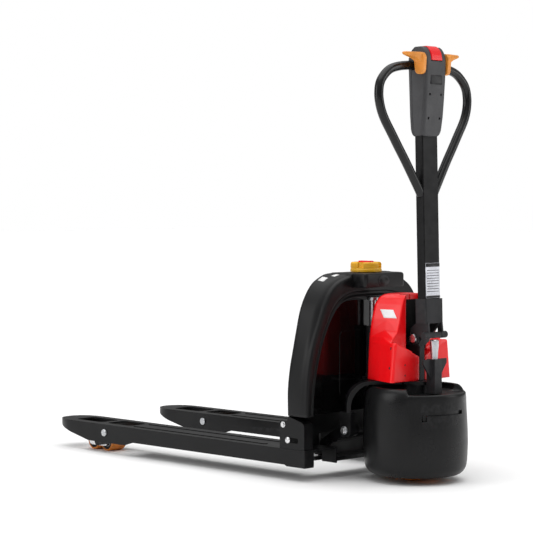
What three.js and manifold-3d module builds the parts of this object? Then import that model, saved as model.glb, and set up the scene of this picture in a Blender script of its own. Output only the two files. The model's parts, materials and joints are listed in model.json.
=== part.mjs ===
// Electric walk-behind pallet jack: forks, lift frame and cowl, steered drive unit, tiller.
// Millimetres, +X towards the fork tips, +Y operator's left, +Z up, floor at z = 0.
// All dimensions below are written with x = 0 at the rear of the fork heels;
// SHIFT_X then puts the row's origin at the middle of the length.
import * as THREE from 'three';
import { mergeVertices } from 'three/addons/utils/BufferGeometryUtils.js';
import Module from 'manifold-3d';

const wasm = await Module();
wasm.setup();

// ---------------------------------------------------------------- driving dimensions
const SHIFT_X = -416.64;
const HALF_W = 285;            // half the overall width over the forks
const FORK_W = 137;            // width of one fork
const FORK_IN = HALF_W - FORK_W;
const FORK_MID = (HALF_W + FORK_IN) / 2;
const FORK_TOP = 93;           // lowered fork height
const FORK_LOW = 46;           // underside of the fork's side plates
const PLATE = 5;
const TIP_X = 1160;
const NOSE_X = 1062;           // where the nose starts to round

const ROLLER_R = 30;
const BOGIE_X = 962;           // tandem pivot, lowered
const ROLLER_PITCH = 64;
const ROLLER_HALF = 31;
const LEVER_X = 745;           // load-wheel lever pivot inside the fork
const LEVER_Z = 66;
const GUARD_PIN = [895, 66];   // through pin with clipped heads

const AXIS_X = -175;           // steering axis
const COVER_R = 153;           // drive cover radius
const WHEEL_R = 105;
const YOKE_LOW = 281;
const YOKE_TOP = 291;

const JACK_X = -6;             // lift cylinder, in front of the steered unit
const ROCK_PIN = [-47, 147];   // rocker pivot on the yoke cheeks
const ROCK_TIP = [85, 75];     // rocker tip, reaching into the fork heel
const CHEEK_Y = [146, 166];
const ARM_Y = [124, 144];

const COWL_TOP = 601;
const COWL_BASE = 190;
const COWL_FRONT = 72;
const PANEL_X = 18;            // depth of the cowl's rear recess

const HINGE = [-190, 415];     // tiller tilt pivot
const LEAN = 0.0262;           // tiller leans forward by 1.5 degrees when upright
const TUBE_X = -37;            // tiller tube's centre behind the tilt pivot
const GAP = 0.3;               // clearance between pieces that meet

// ---------------------------------------------------------------- solid helpers
function toSolid(geo) {
  const g = geo.clone();
  g.deleteAttribute('normal');
  g.deleteAttribute('uv');
  const m = mergeVertices(g, 1e-4);
  const pos = new Float32Array(m.attributes.position.array);
  const tri = new Uint32Array(m.index.array);
  let s = new wasm.Manifold(new wasm.Mesh({ numProp: 3, vertProperties: pos, triVerts: tri }));
  if (s.volume() < 0) {
    for (let i = 0; i < tri.length; i += 3) {
      const t = tri[i];
      tri[i] = tri[i + 1];
      tri[i + 1] = t;
    }
    s = new wasm.Manifold(new wasm.Mesh({ numProp: 3, vertProperties: pos, triVerts: tri }));
  }
  return s;
}

function toGeometry(s) {
  const m = s.getMesh();
  const n = m.numProp;
  const count = m.vertProperties.length / n;
  const pos = new Float32Array(count * 3);
  for (let i = 0; i < count; i++) {
    pos[i * 3] = m.vertProperties[i * n];
    pos[i * 3 + 1] = m.vertProperties[i * n + 1];
    pos[i * 3 + 2] = m.vertProperties[i * n + 2];
  }
  const g = new THREE.BufferGeometry();
  g.setAttribute('position', new THREE.BufferAttribute(pos, 3));
  g.setIndex(new THREE.BufferAttribute(new Uint32Array(m.triVerts), 1));
  g.computeVertexNormals();
  return g;
}

const join = (...list) => list.reduce((a, b) => a.add(b));
const cut = (a, ...list) => list.reduce((s, b) => s.subtract(b), a);

// polygon extruded along one axis: 'z' takes [x, y], 'y' takes [x, z], 'x' takes [y, z]
function prism(points, a, b, axis, holes = []) {
  const shape = new THREE.Shape(points.map((p) => new THREE.Vector2(p[0], p[1])));
  for (const h of holes) {
    shape.holes.push(new THREE.Path(h.map((p) => new THREE.Vector2(p[0], p[1]))));
  }
  const g = new THREE.ExtrudeGeometry(shape, { depth: b - a, bevelEnabled: false });
  if (axis === 'z') {
    g.translate(0, 0, a);
  } else if (axis === 'y') {
    g.rotateX(Math.PI / 2);
    g.translate(0, b, 0);
  } else {
    const m = new THREE.Matrix4().makeBasis(
      new THREE.Vector3(0, 1, 0), new THREE.Vector3(0, 0, 1), new THREE.Vector3(1, 0, 0));
    g.applyMatrix4(m);
    g.translate(a, 0, 0);
  }
  return toSolid(g);
}

function box(x0, x1, y0, y1, z0, z1) {
  return prism([[x0, y0], [x1, y0], [x1, y1], [x0, y1]], z0, z1, 'z');
}

// rectangle [u0,u1] x [v0,v1] with rounded corners, as polygon points
function roundRect(u0, u1, v0, v1, r, n = 3) {
  const pts = [];
  const corners = [[u1 - r, v1 - r, 0], [u0 + r, v1 - r, 1], [u0 + r, v0 + r, 2], [u1 - r, v0 + r, 3]];
  for (const [cu, cv, q] of corners) {
    for (let i = 0; i <= n; i++) {
      const t = (q + i / n) * Math.PI / 2;
      pts.push([cu + r * Math.cos(t), cv + r * Math.sin(t)]);
    }
  }
  return pts;
}

function disc(u, v, r, n = 18) {
  const pts = [];
  for (let i = 0; i < n; i++) {
    const t = i / n * 2 * Math.PI;
    pts.push([u + r * Math.cos(t), v + r * Math.sin(t)]);
  }
  return pts;
}

// cylinder or cone between two points
function rod(p, q, r, r2 = r, n = 14) {
  const a = new THREE.Vector3(...p);
  const b = new THREE.Vector3(...q);
  const d = b.clone().sub(a);
  const g = new THREE.CylinderGeometry(r2, r, d.length(), n);
  const turn = new THREE.Quaternion().setFromUnitVectors(new THREE.Vector3(0, 1, 0), d.clone().normalize());
  g.applyQuaternion(turn);
  g.translate((a.x + b.x) / 2, (a.y + b.y) / 2, (a.z + b.z) / 2);
  return toSolid(g);
}

// profile [radius, height] turned about a vertical or cross axis; it starts and ends on the axis
function turned(profile, at, axis, n = 32) {
  const g = new THREE.LatheGeometry(profile.map((p) => new THREE.Vector2(p[0], p[1])), n);
  if (axis === 'z') {
    g.rotateX(Math.PI / 2);
  }
  g.translate(...at);
  return toSolid(g);
}

// closed skin through loops of equal length, capped at both ends
function loft(loops) {
  const n = loops[0].length;
  const pos = [];
  const idx = [];
  for (const loop of loops) {
    for (const p of loop) {
      pos.push(...p);
    }
  }
  for (let k = 0; k + 1 < loops.length; k++) {
    for (let i = 0; i < n; i++) {
      const a = k * n + i;
      const b = k * n + (i + 1) % n;
      idx.push(a, b, b + n, a, b + n, a + n);
    }
  }
  const flat = (loop) => {
    const lo = new THREE.Vector3();
    for (let i = 0; i < n; i++) {
      const p = new THREE.Vector3(...loop[i]);
      const q = new THREE.Vector3(...loop[(i + 1) % n]);
      lo.add(p.cross(q));
    }
    const size = [Math.abs(lo.x), Math.abs(lo.y), Math.abs(lo.z)];
    const k = [[1, 2], [0, 2], [0, 1]][size.indexOf(Math.max(...size))];
    return loop.map((p) => new THREE.Vector2(p[k[0]], p[k[1]]));
  };
  const cap = (k) => THREE.ShapeUtils.triangulateShape(flat(loops[k]),
      []).map((t) => t.map((i) => i + k * n));
  const area = (k, tris) => {
    const t = tris[0].map((i) => new THREE.Vector3(...loops[k][i - k * n]));
    return t[1].sub(t[0]).cross(t[2].sub(t[0]));
  };
  const mid = (loop) => loop.reduce((s, p) => s.add(new THREE.Vector3(...p)),
      new THREE.Vector3()).divideScalar(n);
  const way = mid(loops[loops.length - 1]).sub(mid(loops[0]));
  // the side skin's winding decides which way round the caps go
  const p0 = new THREE.Vector3(...loops[0][0]);
  const side = new THREE.Vector3(...loops[0][1]).sub(p0).cross(new THREE.Vector3(...loops[1][1]).sub(p0));
  const inside = mid(loops[0]).sub(p0);
  const outward = side.dot(inside) < 0;
  for (const [k, sign] of [[0, -1], [loops.length - 1, 1]]) {
    const tris = cap(k);
    const up = area(k, tris).dot(way) > 0;
    const want = (sign > 0) === outward;
    for (const t of tris) {
      idx.push(...(up === want ? t : [t[0], t[2], t[1]]));
    }
  }
  const g = new THREE.BufferGeometry();
  g.setAttribute('position', new THREE.BufferAttribute(new Float32Array(pos), 3));
  g.setIndex(idx);
  return toSolid(g);
}

function sweep(points, r, steps, n = 14) {
  const path = new THREE.CatmullRomCurve3(points.map((p) => new THREE.Vector3(...p)), false, 'centripetal');
  const shape = new THREE.Shape(disc(0, 0, r, n).map((p) => new THREE.Vector2(p[0], p[1])));
  return toSolid(new THREE.ExtrudeGeometry(shape, { steps, bevelEnabled: false, extrudePath: path }));
}

// the same solid on the other side of the centre plane
function mirrored(s) {
  const g = toGeometry(s);
  g.scale(1, -1, 1);
  return toSolid(g);
}

// ---------------------------------------------------------------- colours
const TONES = {
  frame_black: [0x2a2a2c, 0.45, 0.1],
  cowl_black: [0x2d2d30, 0.5, 0.0],
  gloss_black: [0x0e0e10, 0.12, 0.0],
  head_grey: [0x45464a, 0.6, 0.0],
  red: [0xd80f1a, 0.35, 0.0],
  orange: [0xd8882c, 0.5, 0.0],
  amber: [0xe09a3a, 0.5, 0.0],
  yellow: [0xf2c430, 0.45, 0.0],
  steel: [0xb9bcc0, 0.35, 0.9],
  cast: [0x3a3b3e, 0.6, 0.5],
  plate: [0xc9ccd0, 0.4, 0.6],
  rubber: [0x1a1a1b, 0.8, 0.0],
};

const lowerRig = new THREE.Group();
lowerRig.name = 'pallet_jack';
lowerRig.position.x = SHIFT_X;

function piece(name, solid, tone, parent = lowerRig) {
  const [color, roughness, metalness] = TONES[tone];
  const mesh = new THREE.Mesh(
    toGeometry(solid), new THREE.MeshStandardMaterial({ color, roughness, metalness }));
  mesh.name = name;
  parent.add(mesh);
  return mesh;
}

// left and right pair from one left-hand solid
function pair(name, solid, tone) {
  piece(name + '_left', solid, tone);
  piece(name + '_right', mirrored(solid), tone);
}

// ---------------------------------------------------------------- forks
function forkPlan(inset) {
  const a = FORK_IN + inset;
  const b = HALF_W - inset;
  const r = (b - a) / 2;
  const reach = TIP_X - inset * 1.5 - NOSE_X;
  const pts = [[0, a], [NOSE_X, a]];
  const n = 20;
  for (let i = 1; i < n; i++) {
    const t = -Math.PI / 2 + i / n * Math.PI;
    pts.push([NOSE_X + reach * Math.cos(t) ** 0.8, FORK_MID + r * Math.sin(t)]);
  }
  pts.push([NOSE_X, b], [0, b]);
  return pts;
}

function fork() {
  let s = prism(forkPlan(0), FORK_LOW, FORK_TOP, 'z');
  const inner = forkPlan(PLATE);
  inner[0][0] = 8;
  inner[inner.length - 1][0] = 8;
  const under = prism(inner, 0, FORK_TOP - PLATE, 'z');
  s = s.subtract(under);
  // side plates reach lower beside the load rollers
  const dip = [[756, FORK_LOW + 0.5], [797, 34.5], [978, 34.5], [1034, FORK_LOW + 0.5]];
  s = join(s, prism(dip, HALF_W - PLATE, HALF_W, 'y'), prism(dip, FORK_IN, FORK_IN + PLATE, 'y'));
  // nose rises towards the tip and is solid there
  const noseBlock = prism(forkPlan(1), FORK_LOW, FORK_TOP - 1, 'z').intersect(
    box(1108, TIP_X, FORK_IN, HALF_W, 0, FORK_TOP));
  s = s.add(noseBlock);
  const ramp = [[978, 20], [1200, 20], [1200, 90], [TIP_X, 82], [1140, 75], [1068, 54], [978, 34.5]];
  s = s.subtract(prism(ramp, FORK_IN - 5, HALF_W + 5, 'y'));
  // windows over the two rollers with a cross strip between
  for (const [x0, x1] of [[806, 922], [944, 1078]]) {
    s = s.subtract(prism(roundRect(x0, x1, FORK_MID - 38, FORK_MID + 38, 16, 5), 60, 120, 'z'));
  }
  // pressed ribs along the top
  for (const side of [-1, 1]) {
    const y = FORK_MID + side * 32;
    s = s.add(prism(roundRect(190, 790, y - 7, y + 7, 6), FORK_TOP - 1, FORK_TOP + 2, 'z'));
  }
  // guard pin holes, lever pivot bosses, rocker opening and heel foot
  s = s.subtract(rod([GUARD_PIN[0], FORK_IN - 5, GUARD_PIN[1]],
      [GUARD_PIN[0], HALF_W + 5, GUARD_PIN[1]], 7.3));
  for (const [y0, y1] of [[FORK_IN + PLATE - 1, FORK_IN + 14], [HALF_W - 14, HALF_W - PLATE + 1]]) {
    s = s.add(rod([LEVER_X, y0, LEVER_Z], [LEVER_X, y1, LEVER_Z], 14));
  }
  s = s.subtract(rod([LEVER_X, FORK_IN + PLATE, LEVER_Z], [LEVER_X, HALF_W - PLATE, LEVER_Z], 8.3));
  s = s.subtract(box(56, 128, FORK_IN - 1, FORK_IN + PLATE + 1, 40, FORK_TOP - PLATE));
  s = s.subtract(box(-1, 9, FORK_IN + PLATE, 246, 40, FORK_TOP - PLATE));
  s = s.add(prism([[0, 42], [74, 42], [82, FORK_LOW + 0.5], [0, FORK_LOW + 0.5]], 247, HALF_W, 'y'));
  return s.subtract(box(9, 90, 250, HALF_W - PLATE, 38, 60));
}

function guardPin() {
  const [x, z] = GUARD_PIN;
  return join(
    rod([x, FORK_IN - 3, z], [x, HALF_W + 3, z], 7),
    rod([x, HALF_W + GAP, z], [x, HALF_W + 4, z], 12.5, 11.5),
    rod([x, FORK_IN - 4, z], [x, FORK_IN - GAP, z], 11.5, 12.5));
}

// ---------------------------------------------------------------- load-wheel gear
function lever() {
  const dz = LEVER_Z - ROLLER_R;
  const tilt = Math.atan2(-dz, BOGIE_X - LEVER_X);
  const nx = -Math.sin(tilt) * 13;
  const nz = Math.cos(tilt) * 13;
  const arm = [[LEVER_X - nx, LEVER_Z - nz], [BOGIE_X - nx, ROLLER_R - nz],
    [BOGIE_X + nx, ROLLER_R + nz], [LEVER_X + nx, LEVER_Z + nz]];
  const plate = (y0, y1) => join(
    prism(arm, y0, y1, 'y'),
    prism(disc(LEVER_X, LEVER_Z, 13), y0, y1, 'y'),
    prism(disc(BOGIE_X, ROLLER_R, 13), y0, y1, 'y'));
  let s = join(plate(173, 177.5), plate(255.5, 260));
  s = s.add(rod([LEVER_X, FORK_IN + PLATE + 1, LEVER_Z], [LEVER_X, HALF_W - PLATE - 1, LEVER_Z], 8));
  s = s.add(rod([LEVER_X + 50, 173, 57.7], [LEVER_X + 50, 260, 57.7], 7));
  s = s.add(rod([BOGIE_X, 177, ROLLER_R], [BOGIE_X, 182.5, ROLLER_R], 7));
  s = s.add(rod([BOGIE_X, 250.5, ROLLER_R], [BOGIE_X, 256, ROLLER_R], 7));
  // ear that the push rod drives
  const ear = [[LEVER_X - 7, LEVER_Z], [LEVER_X + 7, LEVER_Z], [LEVER_X + 4, LEVER_Z + 19],
      [LEVER_X - 4, LEVER_Z + 19]];
  return s.add(prism(ear, FORK_MID - 6, FORK_MID + 6, 'y'));
}

function bogie() {
  const xs = [BOGIE_X - ROLLER_PITCH / 2, BOGIE_X + ROLLER_PITCH / 2];
  const plate = (y0, y1) => {
    const p = roundRect(xs[0] - 13, xs[1] + 13, ROLLER_R - 13, ROLLER_R + 13, 12.5);
    return prism(p, y0, y1, 'y').subtract(prism(disc(BOGIE_X, ROLLER_R, 7.3), y0 - 1, y1 + 1, 'y'));
  };
  let s = join(plate(178, 182.5), plate(250.5, 255));
  for (const x of xs) {
    s = s.add(rod([x, 178, ROLLER_R], [x, 255, ROLLER_R], 8));
  }
  return s;
}

function loadRoller(x) {
  const h = ROLLER_HALF;
  const outer = [[0, -h], [24, -h], [ROLLER_R - 3, 1 - h], [ROLLER_R, 4 - h], [ROLLER_R, h - 4],
    [ROLLER_R - 3, h - 1], [24, h], [0, h]];
  const s = turned(outer, [x, FORK_MID, ROLLER_R], 'y', 20);
  const dish = turned([[0, -h - 8], [17, -h - 8], [17, 3 - h], [0, 3 - h]],
      [x, FORK_MID, ROLLER_R], 'y', 12);
  const dish2 = turned([[0, h - 3], [17, h - 3], [17, h + 8], [0, h + 8]],
      [x, FORK_MID, ROLLER_R], 'y', 12);
  return cut(s, dish, dish2, rod([x, 160, ROLLER_R], [x, 270, ROLLER_R], 8.3));
}

function pushRod() {
  const z = LEVER_Z + 14;
  const x1 = LEVER_X - 12.5;
  return join(
    rod([118, FORK_MID, z - 8], [x1 - 14, FORK_MID, z], 6),
    box(112, 134, FORK_MID - 8, FORK_MID + 8, z - 15, z - 1),
    box(x1 - 22, x1, FORK_MID - 8, FORK_MID + 8, z - 6, z + 5));
}

// ---------------------------------------------------------------- rocker and yoke
function rockerArm() {
  const [px, pz] = ROCK_PIN;
  const [tx, tz] = ROCK_TIP;
  const edge = [[px - 6, pz + 19], [px + 40, pz + 8], [tx - 30, tz + 42], [tx + 6, tz + 15], [tx + 15, tz],
    [tx + 8, tz - 14], [tx - 6, tz - 13], [tx - 20, tz + 4], [tx - 45, tz + 24], [px + 45, pz - 30],
    [px + 18, pz - 22], [px + 4, pz - 19]];
  let s = prism(edge, ...ARM_Y, 'y').add(prism(disc(px, pz, 19), ...ARM_Y, 'y'));
  s = s.subtract(prism(roundRect(16, 44, 108, 120, 5), ARM_Y[1] - 4, ARM_Y[1] + 1, 'y'));
  s = s.subtract(prism(disc(px, pz, 8.3), 100, 170, 'y'));
  return s.add(rod([tx, ARM_Y[1] - 1, tz], [tx, 226, tz], 8));
}

function rocker() {
  const arm = rockerArm();
  return join(arm, mirrored(arm), rod([12, -ARM_Y[1], 119], [12, ARM_Y[1], 119], 13));
}

function rockerPin() {
  const [x, z] = ROCK_PIN;
  return join(
    rod([x, ARM_Y[0] - 2, z], [x, CHEEK_Y[1] + 1, z], 8),
    rod([x, CHEEK_Y[1] + GAP, z], [x, CHEEK_Y[1] + 6, z], 13, 12),
    rod([x, ARM_Y[0] - 7, z], [x, ARM_Y[0] - 2, z], 11));
}

function yokeStrap() {
  const far = Math.hypot(48.5 + AXIS_X, 156);
  const outer = [[-5, 199], [-5, 226], [-1, 246], [8, 263], [22, 277], [40, 287], [60, YOKE_TOP],
      [far - 38, YOKE_TOP]];
  const inner = [[far - 38, YOKE_LOW], [62, YOKE_LOW], [46, 276.5], [32, 267], [20, 254], [11, 238],
      [7, 222], [7, 199]];
  const g = prism([...outer, ...inner], -21, 21, 'y');
  const geo = toGeometry(g);
  geo.rotateZ(Math.atan2(-156, AXIS_X + 48.5));
  geo.translate(-48.5, 156, 0);
  return toSolid(geo);
}

function yokeCheek() {
  const [px, pz] = ROCK_PIN;
  const body = [[-70, 200], [-27, 200], [-27, pz - 6], [px + 14, pz - 19], [px - 14, pz - 19],
      [-70, pz - 6]];
  const s = prism(body, ...CHEEK_Y, 'y');
  const cap = box(-72, -25, CHEEK_Y[0] - 2, CHEEK_Y[1] + 1.5, 194, 200);
  return s.add(cap).subtract(prism(disc(px, pz, 8.3), 140, 172, 'y'));
}

function yoke() {
  const half = yokeStrap().add(yokeCheek());
  let s = prism(disc(AXIS_X, 0, 50, 40), YOKE_LOW, YOKE_TOP, 'z');
  s = join(s, half, mirrored(half), box(AXIS_X + 20, JACK_X + 20, -24, 24, YOKE_LOW, YOKE_TOP));
  return s.subtract(prism(disc(AXIS_X, 0, 42.3, 28), YOKE_LOW - 1, YOKE_TOP + 1, 'z'));
}

function slewRing() {
  return prism(disc(AXIS_X, 0, 42, 28), YOKE_LOW, YOKE_TOP, 'z', [disc(AXIS_X, 0, 36.3, 28)]);
}

// ---------------------------------------------------------------- lift frame and cowl
const REAR_EDGE = [[284, 190], [281, 262], [274, 321], [260.5, 379], [243, 428], [221, 477], [204, 515],
  [185, 545], [161.5, 567], [131, 582], [95, 592.5], [92.5, 600], [90, COWL_TOP], [0, COWL_TOP]];
const FRONT_EDGE = [[283, 190], [284, 262], [276, 325], [264, 377], [251, 430], [237, 484], [222, 520],
  [206, 546], [190, 565], [170, 580], [133, 596], [101, 599.6], [98, COWL_TOP], [0, COWL_TOP]];
const RECESS_EDGE = [[252, 150], [248, 250], [237.5, 311], [214, 390], [188.5, 443], [167.5, 475],
    [143.5, 502],
  [121, 517], [92, 525.5], [58, 529], [0, 529]];

const RIM_X = -6;              // plane of the cowl's rear rim

// an edge between the rear rim and the front flange, at a distance x along the part
function edgeAt(x) {
  const t = (x - RIM_X) / (COWL_FRONT - RIM_X);
  return REAR_EDGE.map(([y, z], i) => [y + (FRONT_EDGE[i][0] - y) * t, z + (FRONT_EDGE[i][1] - z) * t]);
}

function wholeArch(edge) {
  const left = edge.slice(0, -1);
  const right = left.map((p) => [-p[0], p[1]]).reverse();
  return [...left, ...right];
}

function insetArch(edge, d) {
  return wholeArch(edge.map(([y, z]) => {
    const dy = Math.abs(y) < 1 ? 0 : d * Math.min(1, Math.abs(y) / 120);
    const dz = z < 200 ? 0 : d * Math.min(1, Math.max(0, (z - 400) / 180));
    return [y - Math.sign(y) * dy, z - dz];
  }));
}

function cowl() {
  const stations = [[0, REAR_EDGE, 2.5], [0.025, REAR_EDGE, 0], [0.93, FRONT_EDGE, 0],
      [0.98, FRONT_EDGE, 2.5],
    [1, FRONT_EDGE, 7]];
  const loops = stations.map(([t, edge, d]) => insetArch(edge, d).map(([y, z]) => [
    RIM_X + (COWL_FRONT - RIM_X) * t, y, z]));
  let s = loft(loops);
  s = s.subtract(prism(wholeArch(RECESS_EDGE), -90, PANEL_X, 'x'));
  const room = (x) => insetArch(edgeAt(x), 9).map(([y, z]) => [x, y, z < 200 ? 150 : z]);
  s = s.subtract(loft([room(PANEL_X - 0.01), room(COWL_FRONT - 5)]));
  // shallow bead around the recess mouth
  const lip = wholeArch(RECESS_EDGE.map(([y, z]) => [y === 0 ? 0 : y + 5,
      z < 160 ? z : z + (z > 420 ? 4 : 1)]));
  const lipCut = loft([-90, 90].map((x) => lip.map(([y, z]) => [x + 0, y, z])));
  const zone = box(-90, RIM_X + 6, -300, 300, 100, 700);
  return s.subtract(lipCut.intersect(zone));
}

function recessPanel() {
  const edge = insetArch(edgeAt(PANEL_X), 10.2).map(([y, z]) => [y, z < 200 ? 192 : z]);
  let s = prism(edge, PANEL_X + GAP, PANEL_X + 4, 'x');
  // raised access door outline
  s = s.add(prism(roundRect(-118, 118, 236, 430, 16), PANEL_X - 1.5, PANEL_X + 1, 'x'));
  return s;
}

function battery() {
  let s = prism(roundRect(-168, 168, 214, 500, 10), PANEL_X + 6, COWL_FRONT - 9, 'x');
  const grip = prism(roundRect(-60, 60, 470, 492, 8), PANEL_X + 5, PANEL_X + 20, 'x');
  return s.subtract(grip);
}

function topBox() {
  const front = RIM_X - GAP;
  const back = -57;
  const plan = (d) => [[front, -89 + d], [front, 89 - d], [back + 11, 87 - d], [back + 3 + d * 0.6, 84 - d],
    [back + d, 76 - d], [back + d, -76 + d], [back + 3 + d * 0.6, -84 + d], [back + 11, -87 + d]];
  const loops = [[558, 2], [560, 0], [597, 0], [600, 1.2], [COWL_TOP, 3.5]].map(
    ([z, d]) => plan(d).map(([x, y]) => [x, y, z]));
  return loft(loops);
}

function frameWall() {
  const edge = insetArch(FRONT_EDGE, 12).map(([y, z]) => [y, z < 200 ? FORK_TOP + GAP : z]);
  let s = prism(edge, COWL_FRONT + GAP, COWL_FRONT + 6, 'x');
  s = s.subtract(box(60, 90, -148 - GAP, 148 + GAP, 80, 126));
  // box section across the front, lightening window behind the battery
  return s.subtract(prism(roundRect(-120, 120, 300, 460, 24), 60, 90, 'x'));
}

function crossPlate() {
  const plan = [[40, -120], [90, -120], [90, -147.5], [104, -147.5], [104, 147.5], [90, 147.5],
      [90, 120], [40, 120]];
  return prism(plan, 43, 55, 'z').add(box(92, 104, -120, 120, 54, 127));
}

function riser() {
  const side = [[3, FORK_TOP + GAP], [72, FORK_TOP + GAP], [72, 186], [60, 186], [14, 174], [5, 168],
      [3, 160]];
  let s = prism(side, 247, HALF_W - 1, 'y');
  s = s.subtract(prism([[9, 80], [66, 80], [66, 170], [9, 160]], 240, 277, 'y'));
  // upright flange that carries on forwards along the fork's outer edge
  s = s.add(prism([[70, FORK_TOP + GAP], [102, FORK_TOP + GAP], [102, 170], [96, 175],
      [70, 175]], 278, HALF_W - 1, 'y'));
  return s;
}

function stopRing() {
  const at = [21, 0, 0];
  const s = turned([[0, COWL_TOP + GAP], [47, COWL_TOP + GAP], [47, 611], [45.5, 612], [45.5, 627],
      [43, 631],
    [0, 631]], at, 'z', 28);
  const well = turned([[0, 606], [31, 606], [32.5, 640], [0, 640]], at, 'z', 24);
  let out = s.subtract(well);
  for (let k = 0; k < 4; k++) {
    const t = (k + 0.22) * Math.PI / 2;
    const notch = prism(roundRect(40, 60, -9, 9, 2), 614, 640, 'z');
    const g = toGeometry(notch);
    g.rotateZ(t);
    g.translate(at[0], 0, 0);
    out = out.subtract(toSolid(g));
  }
  return out;
}

function stopHandle() {
  const at = [21, 0, 0];
  const s = turned([[0, 615], [30, 615], [30, 624], [28, 627], [0, 627]], at, 'z', 28);
  const grip = prism(roundRect(-4, 46, -9, 9, 6), 620, 634.5, 'z');
  return s.add(grip).add(rod([21, 0, 606.5], [21, 0, 616], 10));
}

// ---------------------------------------------------------------- lift cylinder
function cylinderBody() {
  const s = turned([[0, YOKE_TOP + GAP], [22, YOKE_TOP + GAP], [22, 299], [20, 300], [20, 438],
      [18, 441], [0, 441]],
    [JACK_X, 0, 0], 'z', 20);
  return s.subtract(rod([JACK_X, 0, 298], [JACK_X, 0, 445], 10.4));
}

function pistonRod() {
  return rod([JACK_X, 0, 300], [JACK_X, 0, 520], 10).add(rod([JACK_X, 0, 518], [JACK_X, 0, 527.4], 17));
}

// ---------------------------------------------------------------- steered drive unit
function coverRadius(beta, z) {
  const base = [[20, 124], [24, 134], [32, 142], [48, 148.5], [80, 151.5], [150, COVER_R], [215, 151.5],
    [255, 149], [270, 147.5], [277, 144]];
  let r = base[base.length - 1][1];
  for (let i = 0; i + 1 < base.length; i++) {
    if (z >= base[i][0] && z <= base[i + 1][0]) {
      const t = (z - base[i][0]) / (base[i + 1][0] - base[i][0]);
      r = base[i][1] + t * (base[i + 1][1] - base[i][1]);
      break;
    }
  }
  // the rear part is drawn in a little above mid height, which leaves a soft crease at each side
  const side = Math.abs(beta) * 180 / Math.PI;
  const rear = 1 - Math.min(1, Math.max(0, (side - 52) / 8));
  const high = Math.min(1, Math.max(0, (z - 110) / 110));
  return r - 3.5 * rear * high;
}

function driveCover() {
  const n = 36;
  const heights = [20, 25, 34, 60, 150, 262, 270, 277];
  const loops = heights.map((z) => {
    const loop = [];
    for (let i = 0; i < n; i++) {
      const b = i / n * 2 * Math.PI;
      const beta = b > Math.PI ? b - 2 * Math.PI : b;
      const r = coverRadius(beta, z);
      loop.push([AXIS_X - r * Math.cos(b), r * Math.sin(b), z]);
    }
    return loop;
  });
  let s = loft(loops);
  const at = [AXIS_X, 0, 0];
  // hollow inside, dished on top
  s = s.subtract(turned([[0, 10], [120, 10], [140, 50], [144, 80], [144, 238], [138, 249],
      [0, 249]], at, 'z', 24));
  s = s.subtract(turned([[0, 255], [95, 256], [126, 261], [136, 268], [138, 290], [0, 290]], at, 'z', 24));
  // rear third of the rim is lower
  const wedge = [[AXIS_X, 0]];
  for (let k = 0; k <= 8; k++) {
    const b = (-58 + k / 8 * 116) * Math.PI / 180;
    wedge.push([AXIS_X - 200 * Math.cos(b), 200 * Math.sin(b)]);
  }
  s = s.subtract(prism(wedge, 261, 300, 'z'));
  s = s.subtract(prism(disc(AXIS_X, 0, 39, 28), 230, 300, 'z'));
  // shallow hooked groove on the rear
  const band = (r0, r1, b0, b1, z0, z1) => {
    const pts = [];
    for (let k = 0; k <= 6; k++) {
      const b = (b0 + (b1 - b0) * k / 6) * Math.PI / 180;
      pts.push([AXIS_X - r1 * Math.cos(b), r1 * Math.sin(b)]);
    }
    for (let k = 6; k >= 0; k--) {
      const b = (b0 + (b1 - b0) * k / 6) * Math.PI / 180;
      pts.push([AXIS_X - r0 * Math.cos(b), r0 * Math.sin(b)]);
    }
    return prism(pts, z0, z1, 'z');
  };
  s = s.subtract(band(146.8, 165, -14, 40, 205, 211));
  return s.subtract(band(146.8, 165, 38, 42.5, 188, 211));
}

function driveBracket() {
  let s = prism(disc(AXIS_X, 0, 66, 28), 228, 240, 'z');
  s = s.add(prism(disc(AXIS_X, 0, 36, 28), 239, YOKE_TOP + 0.4, 'z'));
  const leg = [[AXIS_X - 34, 229], [AXIS_X + 34, 229], [AXIS_X + 24, 105], [AXIS_X + 14, 84],
      [AXIS_X - 14, 84],
    [AXIS_X - 24, 105]];
  s = join(s, prism(leg, 43, 51, 'y'), prism(leg, -51, -43, 'y'));
  return s.add(rod([AXIS_X, -51, WHEEL_R], [AXIS_X, 56, WHEEL_R], 15));
}

function driveTyre() {
  const p = [[72, -38], [101, -38], [WHEEL_R, -33], [WHEEL_R, 33], [101, 38], [72, 38], [72, -38]];
  return turned(p, [AXIS_X, 0, WHEEL_R], 'y', 36);
}

function driveHub() {
  const p = [[15.3, -40], [30, -40], [34, -28], [60, -28], [64, -36], [71.7, -36], [71.7, 36], [64, 36],
    [60, 28], [34, 28], [30, 40], [15.3, 40], [15.3, -40]];
  return turned(p, [AXIS_X, 0, WHEEL_R], 'y', 24);
}

function gearbox() {
  const s = prism(disc(AXIS_X, WHEEL_R, 62, 32), -72, -52, 'y');
  return s.add(prism(roundRect(AXIS_X - 40, AXIS_X + 40, WHEEL_R, 205, 12), -70, -52, 'y'));
}

function driveMotor() {
  let s = prism(disc(AXIS_X, WHEEL_R, 58, 18), -120, -72 - GAP, 'y').add(
    rod([AXIS_X, -134, WHEEL_R], [AXIS_X, -119, WHEEL_R], 44));
  for (let k = 0; k < 3; k++) {
    const y = -112 + k * 13;
    s = s.subtract(prism(disc(AXIS_X, WHEEL_R, 70, 12), y, y + 5, 'y', [disc(AXIS_X, WHEEL_R, 54, 18)]));
  }
  return s;
}

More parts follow.
